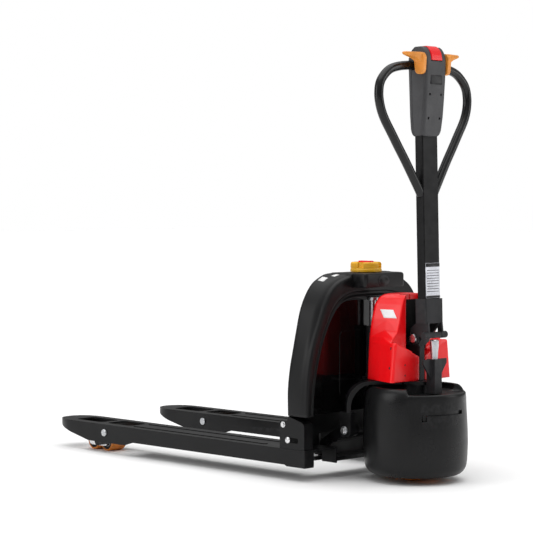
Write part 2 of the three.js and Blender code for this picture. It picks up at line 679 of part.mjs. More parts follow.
// ---------------------------------------------------------------- red power-unit covers
const LOBE = [
  // z, front x at centre, front corner x y, rear corner y
  [292.2, -48, -63, 90, 132],
  [366, -49, -64.5, 88, 124],
  [402, -49.7, -65.6, 86.8, 119.5],
  [418, -50, -66, 86, 104],
  [438, -52, -68, 84.5, 82],
  [470, -55, -71, 82, 71],
  [512, -64, -78, 76, 60],
  [532, -74, -85, 66, 52],
  [540, -84, -93, 55, 46],
  [543, -94, -102, 45, 40],
];
const LOW_REAR = -200;         // rear face of the wide lower block
const HIGH_REAR = -176;        // rear face of the narrower part above the shelf

function lobeLoop([z, fx, ax, ay, cy], d, seam) {
  return [
    [fx - d, seam], [fx - d - 1, ay * 0.45], [ax + 3 - d, ay - 12], [ax - 1 - d, ay - 4 - d * 0.4],
    [ax - 9, ay + 1 - d], [-130, (ay + cy) / 2 + 1 - d], [-190, cy - 1.5 - d], [-197 + d * 0.8, cy - 3 - d],
    [LOW_REAR + d, cy - 8 - d], [LOW_REAR + d, 20], [LOW_REAR + d, seam],
  ].map(([x, y]) => [x, y, z]);
}

// what is cut away above the slanted shelf
function shelfCut(grow) {
  const half = [[8, 364 - grow], [130, 413.5 - grow], [170, 413.5 - grow], [170, 620]];
  const both = [...half, ...half.map(([y, z]) => [-y, z]).reverse()];
  return prism(both, -240, HIGH_REAR + grow, 'x');
}

function tillerSlot(grow) {
  const p = [[12 + grow, 270], [12 + grow, 362 - grow], [44 + grow, 376 - grow], [44 + grow, 560]];
  const both = [...p, ...p.map(([y, z]) => [-y, z]).reverse()];
  return prism(both, -230, -150 + grow, 'x');
}

function powerCover() {
  const outer = loft(LOBE.map((row) => lobeLoop(row, 0, 0.2)));
  const rows = LOBE.map((row) => [...row]);
  rows[0][0] = 285;
  rows[rows.length - 1][0] = 538;
  rows[rows.length - 2][0] = 535;
  const inner = loft(rows.map((row) => lobeLoop(row, 4, 0.1)));
  let s = outer.subtract(inner.subtract(tillerSlot(4)).subtract(shelfCut(4)));
  s = s.subtract(tillerSlot(0)).subtract(shelfCut(0));
  // screw channel near the rear edge of the flank
  const channel = [[127.5, 314], [150, 314], [150, 404], [117, 404]];
  s = s.subtract(prism(channel, -196.5, -181, 'x').subtract(inner));
  return s;
}

function pumpMotor() {
  return join(
    rod([-118, 60, 296], [-118, 60, 402], 27),
    rod([-118, 60, 401], [-118, 60, 426], 20),
    rod([-118, 60, 292.6], [-118, 60, 297], 30));
}

function oilTank() {
  return prism(roundRect(-142, -84, -76, -30, 8), 292.8, 440, 'z').add(rod([-112, -52, 438],
      [-112, -52, 452], 11));
}

function controller() {
  let s = box(-144, -96, 10, 58, 432, 484);
  for (let k = 0; k < 4; k++) {
    s = s.subtract(box(-140 + k * 12, -134 + k * 12, 0, 70, 474, 487));
  }
  return s;
}

// ---------------------------------------------------------------- steering head and tiller foot
function steerHead() {
  const [hx, hz] = HINGE;
  const column = box(-199, -151, -10.5, 10.5, YOKE_TOP + 0.8, 402);
  const top = [[-199, 394], [-151.5, 394], [-156, 410], [-172, 432], [hx, 438], [-206, 432], [-212, 415]];
  let s = column.add(prism(top, -17.5, 17.5, 'y'));
  s = s.subtract(rod([hx, -30, hz], [hx, 30, hz], 8.3));
  return s;
}

function hingeShaft() {
  const [hx, hz] = HINGE;
  return join(
    rod([hx, -28, hz], [hx, 28, hz], 8),
    rod([hx, 27 + GAP, hz], [hx, 34, hz], 13.5, 12.5),
    rod([hx, -34, hz], [hx, -27 - GAP, hz], 12.5, 13.5));
}

function steerPost() {
  let s = box(-261, -229, -16, 16, 256.5, 357);
  const wings = [[-14, 292], [14, 292], [52, 344], [52, 357], [-52, 357], [-52, 344]];
  s = s.add(prism(wings, -249, -243, 'x'));
  return s.subtract(rod([-245, 0, 262], [-245, 0, 370], 13.4));
}

function plunger() {
  return turned([[0, 336], [12.6, 336], [12.6, 352], [9.8, 358], [11.2, 380], [13, 396], [13, 410],
      [11, 413], [0, 413]],
    [-245, 0, 0], 'z', 20);
}

// tiller pieces are drawn about the tilt pivot, z along the tube
const tiller = new THREE.Group();
tiller.name = 'tiller_rig';
tiller.position.set(HINGE[0], 0, HINGE[1]);
tiller.rotation.y = LEAN;
lowerRig.add(tiller);

const TUBE = [TUBE_X - 15, TUBE_X + 15];
const TUBE_HALF = 34;
const HEAD_Z = 583;

function tillerFoot() {
  let s = prism(roundRect(TUBE[0] - 6, TUBE[1] + 6, -TUBE_HALF - 4, TUBE_HALF + 4, 4), 44, 115, 'z');
  s = s.subtract(box(TUBE[0] - GAP, TUBE[1] + GAP, -TUBE_HALF - GAP, TUBE_HALF + GAP, 60, 130));
  const leg = [[-16, 2], [16, 2], [12, 30], [-14, 47], [-58, 47], [-40, 22]];
  for (const side of [-1, 1]) {
    const [y0, y1] = side > 0 ? [18.5, 26.5] : [-26.5, -18.5];
    s = join(s, prism(leg, y0, y1, 'y'), prism(disc(0, 0, 17), y0, y1, 'y'));
    const [a, b] = side > 0 ? [27, 33] : [-33, -27];
    s = s.add(prism([[-64, 2], [-46, 2], [-44, 46], [-60, 46]], a, b, 'y'));
    s = s.add(rod([-55, side * 24, 10], [-55, side * 50, 10], 10));
  }
  s = s.add(rod([-55, -26, 10], [-55, 26, 10], 9));
  return s.subtract(rod([0, -60, 0], [0, 60, 0], 8.3));
}

function tillerTube() {
  const s = prism(roundRect(TUBE[0], TUBE[1], -TUBE_HALF, TUBE_HALF, 4), 60.3, 700, 'z');
  const bore = prism(roundRect(TUBE[0] + 3, TUBE[1] - 3, 3 - TUBE_HALF, TUBE_HALF - 3, 2), 50, 710, 'z');
  return s.subtract(bore);
}

function ratingPlate() {
  return box(TUBE[0] - GAP - 1, TUBE[0] - GAP, -31, 31, 117, 218);
}

const LOOP_X = -30;

function loopHandle() {
  const side = [[31, 785], [70, 786], [111, 781], [146, 771], [173, 752], [190, 730], [196, 702],
      [194, 676],
    [186, 650], [172, 624], [147, 589], [121, 552], [92, 512], [62, 468], [36.5, 430]];
  const pts = side.map(([y, z]) => {
    const t = Math.min(1, (z - 430) / 355);
    return [TUBE_X + (LOOP_X - TUBE_X) * t, y, z];
  });
  const left = sweep(pts, 13, 18, 10);
  const keep = box(-80, 10, TUBE_HALF + GAP, 260, 300, 900);
  const foot = sweep([pts[13], pts[14], [TUBE_X, 24, 410]], 13, 2, 12);
  return left.add(foot).intersect(keep);
}

function headLoops(grow) {
  const rows = [[583, -55, -22, 35.5], [588, -59.5, -17.5, 38.5], [604, -63, -15, 43.5], [640, -68.5, -14, 45],
    [690, -74, -13.5, 45.5], [745, -79, -13, 46], [795, -81.5, -12.5, 46.5], [812, -80, -14, 46.3],
    [825, -75, -19, 45.5], [835, -66.5, -27, 43.5], [840, -58, -35, 40.5]];
  const kept = rows.filter(([, x0, x1]) => (x1 - x0) / 2 + grow > 5);
  return kept.map(([z, x0, x1, w]) => {
    const half = (x1 - x0) / 2 + grow;
    const r = Math.max(1, Math.min(12, (x1 - x0) / 2 - 1) + grow);
    const zz = z === 583 ? z - grow : z > 800 ? z + grow : z;
    return roundRect(x0 - grow, x1 + grow, -w - grow, w + grow, Math.min(r, half - 0.5), 3).map(
      ([x, y]) => [x, y, zz]);
  });
}

const WING_AT = [-61, 778];

function head() {
  let s = loft(headLoops(0));
  s = s.subtract(box(TUBE[0] - GAP, TUBE[1] + GAP, -TUBE_HALF - GAP, TUBE_HALF + GAP, 560, 700.3));
  for (const side of [-1, 1]) {
    s = s.subtract(rod([LOOP_X, side * 30, 785], [LOOP_X, side * 60, 786], 13.4));
    s = s.subtract(rod([LOOP_X, side * 30, 785], [LOOP_X, side * 44, 785], 13.4));
  }
  s = s.subtract(rod([WING_AT[0], -60, WING_AT[1]], [WING_AT[0], 60, WING_AT[1]], 6.3));
  // channel for the red reversing button
  const channel = prism([[-100, 797], [-60, 797], [-48, 818], [-22, 820], [-22, 860],
      [-100, 860]], -24.5, 24.5, 'y');
  s = s.subtract(channel.subtract(loft(headLoops(-13))));
  // finger button sockets on the front face
  for (const [y, z] of [[18, 760], [-18, 760], [0, 728]]) {
    s = s.subtract(rod([-24, y, z], [-8, y, z], 8.4, 8.4, 20));
  }
  // four screw wells in the back
  for (const z of [640, 708]) {
    for (const y of [-24, 24]) {
      s = s.subtract(rod([-90, y, z], [-64 - (z - 640) * 0.09, y, z], 3.4, 3.4, 12));
    }
  }
  return s;
}

function bellyButton() {
  const zone = prism([[-100, 799.5], [-62, 799.5], [-50, 818], [-33, 821], [-33, 860],
      [-100, 860]], -23, 23, 'y');
  return loft(headLoops(2.5)).intersect(zone).subtract(loft(headLoops(-4)));
}

function wing() {
  const [x, z] = WING_AT;
  const hub = prism(disc(x, z, 16.5), 47.3, 60, 'y');
  // the front edge leans back below, so that the wings clear the loop handle when they turn
  const cheek = prism([[x - 15, z - 4], [x + 10, z - 4], [x + 12, z + 22], [x + 17.5, z + 38],
      [x + 12, z + 43],
    [x - 15, z + 43], [x - 20, z + 36]], 47.3, 62, 'y');
  const section = (y, x0, xLow, x1, z0, z1) => [[x0, y, z0], [xLow, y, z0], [x1, y, z1], [x0, y, z1]];
  const paddle = loft([
    section(61, x - 20, x + 5, x + 17, z + 12, z + 43),
    section(75, x - 17, x + 7, x + 15, z + 22, z + 43),
    section(94, x - 13, x + 9, x + 13, z + 29, z + 43),
    section(113, x - 9, x + 9, x + 11, z + 33, z + 43.5),
    section(121, x - 5, x + 6, x + 8, z + 36, z + 43),
  ]);
  return join(hub, cheek, paddle);
}

function fingerButton(y, z) {
  return rod([-20, y, z], [-9, y, z], 8, 8, 20).add(rod([-9.5, y, z], [-7.5, y, z], 7, 5.5, 20));
}

// ---------------------------------------------------------------- assembly
function buildFrame() {
  pair('fork', fork(), 'frame_black');
  pair('guard_pin', guardPin(), 'steel');
  pair('riser', riser(), 'frame_black');
  piece('frame_wall', frameWall(), 'frame_black');
  piece('cross_plate', crossPlate(), 'frame_black');
  piece('cowl', cowl(), 'cowl_black');
  piece('recess_panel', recessPanel(), 'gloss_black');
  piece('battery_pack', battery(), 'rubber');
  piece('top_box', topBox(), 'cowl_black');
  piece('stop_ring', stopRing(), 'yellow');
  piece('stop_handle', stopHandle(), 'red');
}

function buildLoadGear() {
  pair('lever', lever(), 'frame_black');
  pair('bogie', bogie(), 'cast');
  pair('push_rod', pushRod(), 'frame_black');
  pair('roller_rear', loadRoller(BOGIE_X - ROLLER_PITCH / 2), 'orange');
  pair('roller_front', loadRoller(BOGIE_X + ROLLER_PITCH / 2), 'orange');
  piece('rocker', rocker(), 'frame_black');
  pair('rocker_pin', rockerPin(), 'steel');
}

function buildDriveUnit() {
  piece('yoke', yoke(), 'frame_black');
  piece('slew_ring', slewRing(), 'steel');
  piece('lift_cylinder', cylinderBody(), 'cast');
  piece('piston_rod', pistonRod(), 'steel');
  piece('drive_cover', driveCover(), 'cowl_black');
  piece('drive_bracket', driveBracket(), 'cast');
  piece('drive_tyre', driveTyre(), 'orange');
  piece('drive_hub', driveHub(), 'cast');
  piece('gearbox', gearbox(), 'cast');
  piece('drive_motor', driveMotor(), 'cast');
  pair('power_cover', powerCover(), 'red');
  piece('pump_motor', pumpMotor(), 'cast');
  piece('oil_tank', oilTank(), 'rubber');
  piece('controller', controller(), 'steel');
  piece('steer_head', steerHead(), 'cast');
  piece('hinge_shaft', hingeShaft(), 'steel');
  piece('steer_post', steerPost(), 'frame_black');
  piece('plunger', plunger(), 'steel');
}

function buildTiller() {
  piece('tiller_foot', tillerFoot(), 'frame_black', tiller);
  piece('tiller_tube', tillerTube(), 'frame_black', tiller);
  piece('rating_plate', ratingPlate(), 'plate', tiller);
  const loop = loopHandle();
  piece('loop_left', loop, 'gloss_black', tiller);
  piece('loop_right', mirrored(loop), 'gloss_black', tiller);
  piece('head', head(), 'head_grey', tiller);
  piece('belly_button', bellyButton(), 'red', tiller);
  const w = wing();
  piece('wing_left', w, 'amber', tiller);
  piece('wing_right', mirrored(w), 'amber', tiller);
  piece('wing_shaft', rod([WING_AT[0], -47, WING_AT[1]], [WING_AT[0], 47, WING_AT[1]], 6), 'steel',
      tiller);
  piece('raise_button', fingerButton(18, 760), 'rubber', tiller);
  piece('lower_button', fingerButton(-18, 760), 'rubber', tiller);
  piece('horn_button', fingerButton(0, 728), 'amber', tiller);
}

buildFrame();
buildLoadGear();
buildDriveUnit();
buildTiller();

export default lowerRig;
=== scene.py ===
"""Looks of an electric walk-behind pallet jack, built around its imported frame.

Sizes are in millimetres in the part's drawing frame: x = 0 at the rear of the fork heels, +X towards
the fork tips, +Y to the operator's left, z = 0 on the floor. place() turns them into metres in the
row's frame; on_tiller() does the same for what is drawn about the tiller's tilt pivot.
"""
import json
import math

import bmesh
import bpy
from mathutils import Matrix, Vector


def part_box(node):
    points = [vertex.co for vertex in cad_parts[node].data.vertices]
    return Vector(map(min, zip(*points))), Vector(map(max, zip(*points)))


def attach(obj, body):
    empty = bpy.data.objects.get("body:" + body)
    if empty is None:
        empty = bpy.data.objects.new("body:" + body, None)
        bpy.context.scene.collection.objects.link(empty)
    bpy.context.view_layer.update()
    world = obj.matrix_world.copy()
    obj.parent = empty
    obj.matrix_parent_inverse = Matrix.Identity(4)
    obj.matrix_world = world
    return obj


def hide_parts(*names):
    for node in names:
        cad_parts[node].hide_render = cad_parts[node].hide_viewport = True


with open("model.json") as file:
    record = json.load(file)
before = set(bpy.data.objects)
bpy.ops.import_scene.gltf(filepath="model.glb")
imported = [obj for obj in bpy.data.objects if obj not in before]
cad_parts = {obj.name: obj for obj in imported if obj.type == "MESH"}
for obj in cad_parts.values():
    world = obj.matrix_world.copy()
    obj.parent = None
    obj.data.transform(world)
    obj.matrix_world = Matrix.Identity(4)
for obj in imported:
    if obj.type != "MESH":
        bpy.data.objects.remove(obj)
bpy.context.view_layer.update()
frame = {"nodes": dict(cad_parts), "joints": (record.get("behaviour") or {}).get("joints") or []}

# ---------------------------------------------------------------- places and driving sizes
MM = 0.001
JOINTS = {j["name"]: j for j in frame["joints"]}
HEEL_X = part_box("fork_left")[0].x
TILT_PIVOT = Vector(JOINTS["tilt"]["pos_m"])
LEAN = 0.0262                       # the upright tiller leans forward by 1.5 degrees
HALF_W = 285
FORK_IN = 148
FORK_MID = (HALF_W + FORK_IN) / 2
ROLLER_R = 30
AXIS_X = -175                       # steering axis
COVER_R = 153                       # drive cover radius
CROWN_Z = 601                       # flat top of the cowl
RIM_X = -6                          # rear face of the cowl's rim
PANEL_X = 18                        # depth of the cowl's rear recess
COWL_FRONT = 72
BOX_REAR = -57                      # rear face of the box on the cowl
STOP_X = 21                         # stop switch's centre on the cowl
TUBE_X = -37                        # tiller tube's centre behind the tilt pivot
LOOP_X = -30                        # loop handle's upper ends


def place(x, y, z):
    return Vector((HEEL_X + x * MM, y * MM, z * MM))


def on_tiller(x, y, z):
    return TILT_PIVOT + Matrix.Rotation(LEAN, 3, "Y") @ (Vector((x, y, z)) * MM)


# ---------------------------------------------------------------- materials
class Surface:
    """A procedural material: mottled colour, uneven roughness, grain in the bump, worn edges."""

    def __init__(self, name, color, rough, metal=0.0, spec=0.5, coat=0.0, coat_rough=0.1):
        self.mat = bpy.data.materials.new(name)
        self.mat.use_nodes = True
        self.nodes = self.mat.node_tree.nodes
        self.links = self.mat.node_tree.links
        self.nodes.clear()
        self.out = self.nodes.new("ShaderNodeOutputMaterial")
        self.bsdf = self.nodes.new("ShaderNodeBsdfPrincipled")
        self.links.new(self.bsdf.outputs[0], self.out.inputs[0])
        self.bsdf.inputs["Metallic"].default_value = metal
        self.bsdf.inputs["Specular IOR Level"].default_value = spec
        self.bsdf.inputs["Coat Weight"].default_value = coat
        self.bsdf.inputs["Coat Roughness"].default_value = coat_rough
        self.color = color
        self.rough = rough
        self.coords = self.nodes.new("ShaderNodeTexCoord").outputs["Object"]
        self.bumps = []
        self.tint = None

    def noise(self, scale, detail=4.0, rough=0.55, stretch=None):
        vector = self.coords
        if stretch:
            mapping = self.nodes.new("ShaderNodeMapping")
            mapping.inputs["Scale"].default_value = stretch
            self.links.new(vector, mapping.inputs["Vector"])
            vector = mapping.outputs[0]
        n = self.nodes.new("ShaderNodeTexNoise")
        n.inputs["Scale"].default_value = scale
        n.inputs["Detail"].default_value = detail
        n.inputs["Roughness"].default_value = rough
        self.links.new(vector, n.inputs["Vector"])
        return n.outputs["Fac"]

    def ramp(self, fac, low, high, a=0.35, b=0.65):
        r = self.nodes.new("ShaderNodeMapRange")
        r.inputs["From Min"].default_value = a
        r.inputs["From Max"].default_value = b
        r.inputs["To Min"].default_value = low
        r.inputs["To Max"].default_value = high
        self.links.new(fac, r.inputs["Value"])
        return r.outputs[0]

    def mix(self, fac, a, b):
        m = self.nodes.new("ShaderNodeMix")
        m.data_type = "RGBA"
        self.links.new(fac, m.inputs["Factor"])
        for value, slot in ((a, m.inputs[6]), (b, m.inputs[7])):
            if isinstance(value, tuple):
                slot.default_value = (*value, 1.0)
            else:
                self.links.new(value, slot)
        return m.outputs[2]

    def mottle(self, scale=14, amount=0.18):
        dark = tuple(c * (1 - amount) for c in self.color)
        light = tuple(min(1.0, c * (1 + amount)) for c in self.color)
        self.tint = self.mix(self.ramp(self.noise(scale), 0, 1), dark, light)
        return self

    def smudge(self, spread=0.06, scale=22, stretch=None):
        fac = self.noise(scale, 5.0, stretch=stretch)
        self.links.new(self.ramp(fac, self.rough - spread, self.rough + spread), self.bsdf.inputs["Roughness"])
        return self

    def grain(self, scale, depth, detail=3.0, stretch=None):
        """depth is the height of the grain in metres."""
        self.bumps.append((self.noise(scale, detail, 0.6, stretch), depth))
        return self

    def edge_wear(self, color, amount=0.5, start=0.53, end=0.60):
        geometry = self.nodes.new("ShaderNodeNewGeometry")
        edge = self.ramp(geometry.outputs["Pointiness"], 0.0, amount, start, end)
        patches = self.ramp(self.noise(55, 6.0), 0.0, 1.0, 0.42, 0.62)
        fac = self.nodes.new("ShaderNodeMath")
        fac.operation = "MULTIPLY"
        self.links.new(edge, fac.inputs[0])
        self.links.new(patches, fac.inputs[1])
        self.tint = self.mix(fac.outputs[0], self.tint, color)
        return self

    def done(self):
        self.links.new(self.tint, self.bsdf.inputs["Base Color"])
        normal = None
        for height, depth in self.bumps:
            bump = self.nodes.new("ShaderNodeBump")
            bump.inputs["Strength"].default_value = 1.0
            bump.inputs["Distance"].default_value = depth
            self.links.new(height, bump.inputs["Height"])
            if normal:
                self.links.new(normal, bump.inputs["Normal"])
            normal = bump.outputs[0]
        if normal:
            self.links.new(normal, self.bsdf.inputs["Normal"])
        return self.mat


PAINT = (Surface("black_paint", (0.0052, 0.0052, 0.0057), 0.36, spec=0.20)
         .mottle(9, 0.22).smudge(0.07, 18).grain(260, 0.00006).grain(1500, 0.00002)
         .edge_wear((0.055, 0.055, 0.058), 0.6).done())
TUBE = (Surface("tube_paint", (0.0048, 0.0048, 0.0053), 0.42, spec=0.16)
        .mottle(12, 0.2).smudge(0.06, 30).grain(420, 0.00004).grain(1600, 0.00002)
        .edge_wear((0.05, 0.05, 0.052), 0.4).done())
COWL = (Surface("cowl_plastic", (0.0066, 0.0066, 0.0071), 0.40, spec=0.20)
        .mottle(6, 0.14).smudge(0.05, 12).grain(1900, 0.00004, 2.0).grain(700, 0.00003)
        .edge_wear((0.04, 0.04, 0.042), 0.3).done())
COVER = (Surface("cover_plastic", (0.0062, 0.0062, 0.0066), 0.33, spec=0.22)
         .mottle(5, 0.12).smudge(0.06, 9).grain(1700, 0.00003, 2.0)
         .edge_wear((0.04, 0.04, 0.042), 0.3).done())
GLOSS = (Surface("gloss_panel", (0.0022, 0.0022, 0.0024), 0.10, spec=0.5)
         .mottle(8, 0.3).smudge(0.035, 16).grain(40, 0.00008, 2.0).done())
GRIP = (Surface("grip_gloss", (0.0060, 0.0060, 0.0064), 0.22, spec=0.32)
        .mottle(15, 0.25).smudge(0.06, 40).grain(300, 0.00004)
        .edge_wear((0.03, 0.03, 0.03), 0.3).done())
HEAD = (Surface("head_plastic", (0.043, 0.043, 0.046), 0.50, spec=0.40)
        .mottle(18, 0.10).smudge(0.05, 30).grain(2300, 0.00007, 2.0).grain(900, 0.00003)
        .edge_wear((0.10, 0.10, 0.105), 0.35).done())
RED = (Surface("red_plastic", (0.86, 0.0028, 0.0062), 0.34, spec=0.38, coat=0.15, coat_rough=0.2)
       .mottle(10, 0.05).smudge(0.05, 14).grain(1300, 0.00002, 2.0)
       .edge_wear((0.90, 0.05, 0.05), 0.35).done())
AMBER = (Surface("amber_plastic", (0.74, 0.27, 0.035), 0.42, spec=0.45)
         .mottle(40, 0.10).smudge(0.07, 60).grain(1800, 0.00006, 2.0)
         .edge_wear((0.85, 0.42, 0.10), 0.4).done())
YELLOW = (Surface("yellow_plastic", (0.86, 0.46, 0.012), 0.38, spec=0.45)
          .mottle(25, 0.06).smudge(0.05, 40).grain(1500, 0.00004, 2.0)
          .edge_wear((0.95, 0.62, 0.08), 0.3).done())
TREAD = (Surface("tread_polymer", (0.66, 0.20, 0.018), 0.38, spec=0.45)
         .mottle(60, 0.12).smudge(0.09, 50).grain(500, 0.00008).grain(2200, 0.00004)
         .edge_wear((0.50, 0.20, 0.06), 0.4).done())
ZINC = (Surface("zinc", (0.66, 0.66, 0.67), 0.28, metal=1.0)
        .mottle(60, 0.10).smudge(0.09, 160).grain(1400, 0.00002).done())
STEEL = (Surface("turned_steel", (0.50, 0.51, 0.53), 0.30, metal=1.0)
         .mottle(50, 0.08).smudge(0.08, 260, (1, 1, 9)).grain(900, 0.00002, 2.0, (1, 1, 10)).done())
CAST = (Surface("cast_metal", (0.016, 0.016, 0.018), 0.55, metal=0.35, spec=0.4)
        .mottle(20, 0.3).smudge(0.1, 40).grain(650, 0.00016, 5.0)
        .edge_wear((0.09, 0.09, 0.09), 0.6).done())
PLATE = (Surface("alloy_plate", (0.55, 0.56, 0.60), 0.34, metal=0.75)
         .mottle(26, 0.12).smudge(0.1, 120, (1, 14, 1)).grain(800, 0.00002, 2.0, (1, 12, 1)).done())
BOX = (Surface("moulded_box", (0.010, 0.010, 0.011), 0.5, spec=0.4)
       .mottle(14, 0.2).smudge(0.08, 26).grain(1200, 0.00006)
       .edge_wear((0.05, 0.05, 0.05), 0.4).done())
WHITE = (Surface("white_film", (0.86, 0.86, 0.86), 0.4, spec=0.4)
         .mottle(30, 0.04).smudge(0.05, 50).grain(900, 0.00001).done())
RUBBER = (Surface("soft_rubber", (0.012, 0.012, 0.012), 0.7, spec=0.35)
          .mottle(30, 0.25).smudge(0.08, 60).grain(1100, 0.00005).done())
# painted shade: a near-black put on patches, liners and screw heads in place of the shade inside openings and wells
SHADE_BLACK = (Surface("painted_shade_black", (0.0015, 0.0015, 0.0016), 0.8, spec=0.1)
       .mottle(40, 0.4).smudge(0.05, 60).grain(900, 0.00003).done())


# ---------------------------------------------------------------- mesh helpers
def add(name, data):
    obj = bpy.data.objects.new(name, data)
    bpy.context.scene.collection.objects.link(obj)
    return obj


def shade_smooth(mesh):
    mesh.polygons.foreach_set("use_smooth", [True] * len(mesh.polygons))


def solid(name, verts, faces, material, frame_of=place):
    """A closed mesh from points in millimetres, with its faces turned outwards."""
    bm = bmesh.new()
    made = [bm.verts.new(frame_of(*v)) for v in verts]
    for f in faces:
        if len(set(f)) > 2:
            bm.faces.new([made[i] for i in dict.fromkeys(f)])
    bmesh.ops.remove_doubles(bm, verts=bm.verts, dist=1e-6)
    bmesh.ops.recalc_face_normals(bm, faces=bm.faces)
    mesh = bpy.data.meshes.new(name)
    bm.to_mesh(mesh)
    bm.free()
    shade_smooth(mesh)
    mesh.materials.append(material)
    return add(name, mesh)


def piece(obj, body, *nodes):
    """obj rides on body and stands for these CAD nodes."""
    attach(obj, body)
    if nodes:
        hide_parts(*nodes)
    return obj


def rings(loops, closed=False):
    """Quads between equal loops of points, with a cap on each end unless closed."""
    n = len(loops[0])
    verts = [p for loop in loops for p in loop]
    faces = []
    for i in range(len(loops) - (0 if closed else 1)):
        a, b = i * n, (i + 1) % len(loops) * n
        for k in range(n):
            m = (k + 1) % n
            faces.append([a + k, a + m, b + m, b + k])
    if not closed:
        faces.append(list(range(n))[::-1])
        faces.append([(len(loops) - 1) * n + k for k in range(n)])
    return verts, faces


def loft(name, loops, material, frame_of=place, closed=False):
    return solid(name, *rings(loops, closed), material, frame_of)


def fillet(points, radius, steps=5, closed=True, same_count=False):
    """A polyline with its corners rounded. radius is one number or one for each corner.
    same_count keeps a straight corner's points, so that loops of a loft stay equal."""
    n = len(points)
    radii = radius if isinstance(radius, (list, tuple)) else [radius] * n
    out = []
    for i, (p, r) in enumerate(zip(points, radii)):
        if r <= 0 or (not closed and i in (0, n - 1)):
            out.append(tuple(p))
            continue
        p = Vector(p)
        a = Vector(points[i - 1]) - p
        b = Vector(points[(i + 1) % n]) - p
        la, lb = a.length, b.length
        a.normalize()
        b.normalize()
        angle = a.angle(b)
        if angle > math.pi - 0.02:
            out += [tuple(p)] * (steps + 1 if same_count else 1)
            continue
        reach = min(r / math.tan(angle / 2), la * 0.48, lb * 0.48)
        start, end = p + a * reach, p + b * reach
        for k in range(steps + 1):
            t = k / steps
            out.append(tuple(start * (1 - t) ** 2 + p * (2 * t * (1 - t)) + end * t ** 2))
    return out


def smooth_line(points, steps):
    """Catmull-Rom points through a polyline of any dimension."""
    out = []
    n = len(points)
    for i in range(n - 1):
        p0 = Vector(points[max(0, i - 1)])
        p1 = Vector(points[i])
        p2 = Vector(points[i + 1])
        p3 = Vector(points[min(n - 1, i + 2)])
        for k in range(steps):
            t = k / steps
            out.append(0.5 * ((2 * p1) + (p2 - p0) * t + (2 * p0 - 5 * p1 + 4 * p2 - p3) * t ** 2
                              + (3 * p1 - p0 - 3 * p2 + p3) * t ** 3))
    out.append(Vector(points[-1]))
    return out


def even(points, count):
    """count points spaced evenly along a polyline."""
    pts = [Vector(p) for p in points]
    lengths = [0.0]
    for a, b in zip(pts, pts[1:]):
        lengths.append(lengths[-1] + (b - a).length)
    out = []
    j = 0
    for i in range(count):
        d = lengths[-1] * i / (count - 1)
        while j < len(pts) - 2 and lengths[j + 1] < d:
            j += 1
        t = (d - lengths[j]) / max(1e-9, lengths[j + 1] - lengths[j])
        out.append(pts[j].lerp(pts[j + 1], t))
    return out


def round_rect(u0, u1, v0, v1, r, steps=6):
    return fillet([(u0, v0), (u1, v0), (u1, v1), (u0, v1)], r, steps)


AXES = {
    "x": lambda u, v, w: (w, u, v),
    "y": lambda u, v, w: (u, w, v),
    "z": lambda u, v, w: (u, v, w),
}


def prism(name, outline, a, b, axis, material, bevel=0.0, frame_of=place, steps=3):
    """An outline pushed from a to b along an axis, with rounded edges."""
    turn = AXES[axis]
    loops = [[turn(u, v, w) for u, v in outline] for w in (a, b)]
    obj = loft(name, loops, material, frame_of)
    if bevel:
        soften(obj, bevel, steps)
    return obj


def lathe(name, profile, centre, axis, material, n=64, frame_of=place):
    """A profile of (radius, distance along axis) turned about an axis through centre. It starts and ends
    on the axis, or closes on itself."""
    on_axis = profile[0][0] < 1e-6
    loops = []
    for r, s in profile:
        loop = []
        for k in range(n):
            t = 2 * math.pi * k / n
            u, v = r * math.cos(t), r * math.sin(t)
            x, y, z = AXES[axis](u, v, s)
            loop.append((centre[0] + x, centre[1] + y, centre[2] + z))
        loops.append(loop)
    if on_axis:
        verts, faces = rings(loops[1:-1])
        faces = faces[:-2]
        tips = []
        for r, s in (profile[0], profile[-1]):
            x, y, z = AXES[axis](0, 0, s)
            verts.append((centre[0] + x, centre[1] + y, centre[2] + z))
            tips.append(len(verts) - 1)
        last = (len(loops) - 3) * n
        for k in range(n):
            m = (k + 1) % n
            faces.append([tips[0], m, k])
            faces.append([tips[1], last + k, last + m])
        return solid(name, verts, faces, material, frame_of)
    return loft(name, loops, material, frame_of, closed=True)


def sweep(name, points, radius, material, frame_of=place, n=24):
    """A round bar along a line of points. radius is one number or one for each point."""
    pts = [Vector(p) for p in points]
    radii = radius if isinstance(radius, (list, tuple)) else [radius] * len(pts)
    side = None
    loops = []
    for i, p in enumerate(pts):
        ahead = (pts[min(i + 1, len(pts) - 1)] - pts[max(i - 1, 0)]).normalized()
        if side is None:
            side = ahead.orthogonal().normalized()
        side = (side - ahead * side.dot(ahead)).normalized()
        up = ahead.cross(side)
        loops.append([tuple(p + (side * math.cos(2 * math.pi * k / n) + up * math.sin(2 * math.pi * k / n)) * radii[i])
                      for k in range(n)])
    return loft(name, loops, material, frame_of)


def bake(obj):
    """Applies an object's modifiers to its mesh."""
    depsgraph = bpy.context.evaluated_depsgraph_get()
    mesh = bpy.data.meshes.new_from_object(obj.evaluated_get(depsgraph))
    materials = list(obj.data.materials)
    obj.modifiers.clear()
    obj.data = mesh
    mesh.materials.clear()
    for m in materials:
        mesh.materials.append(m)
    return obj


def cut(obj, *cutters, operation="DIFFERENCE"):
    for cutter in cutters:
        mod = obj.modifiers.new("cut", "BOOLEAN")
        mod.operation = operation
        mod.solver = "EXACT"
        mod.object = cutter
        bake(obj)
        mesh = cutter.data
        bpy.data.objects.remove(cutter)
        bpy.data.meshes.remove(mesh)
    shade_smooth(obj.data)
    return obj


def join(obj, *others):
    return cut(obj, *others, operation="UNION")


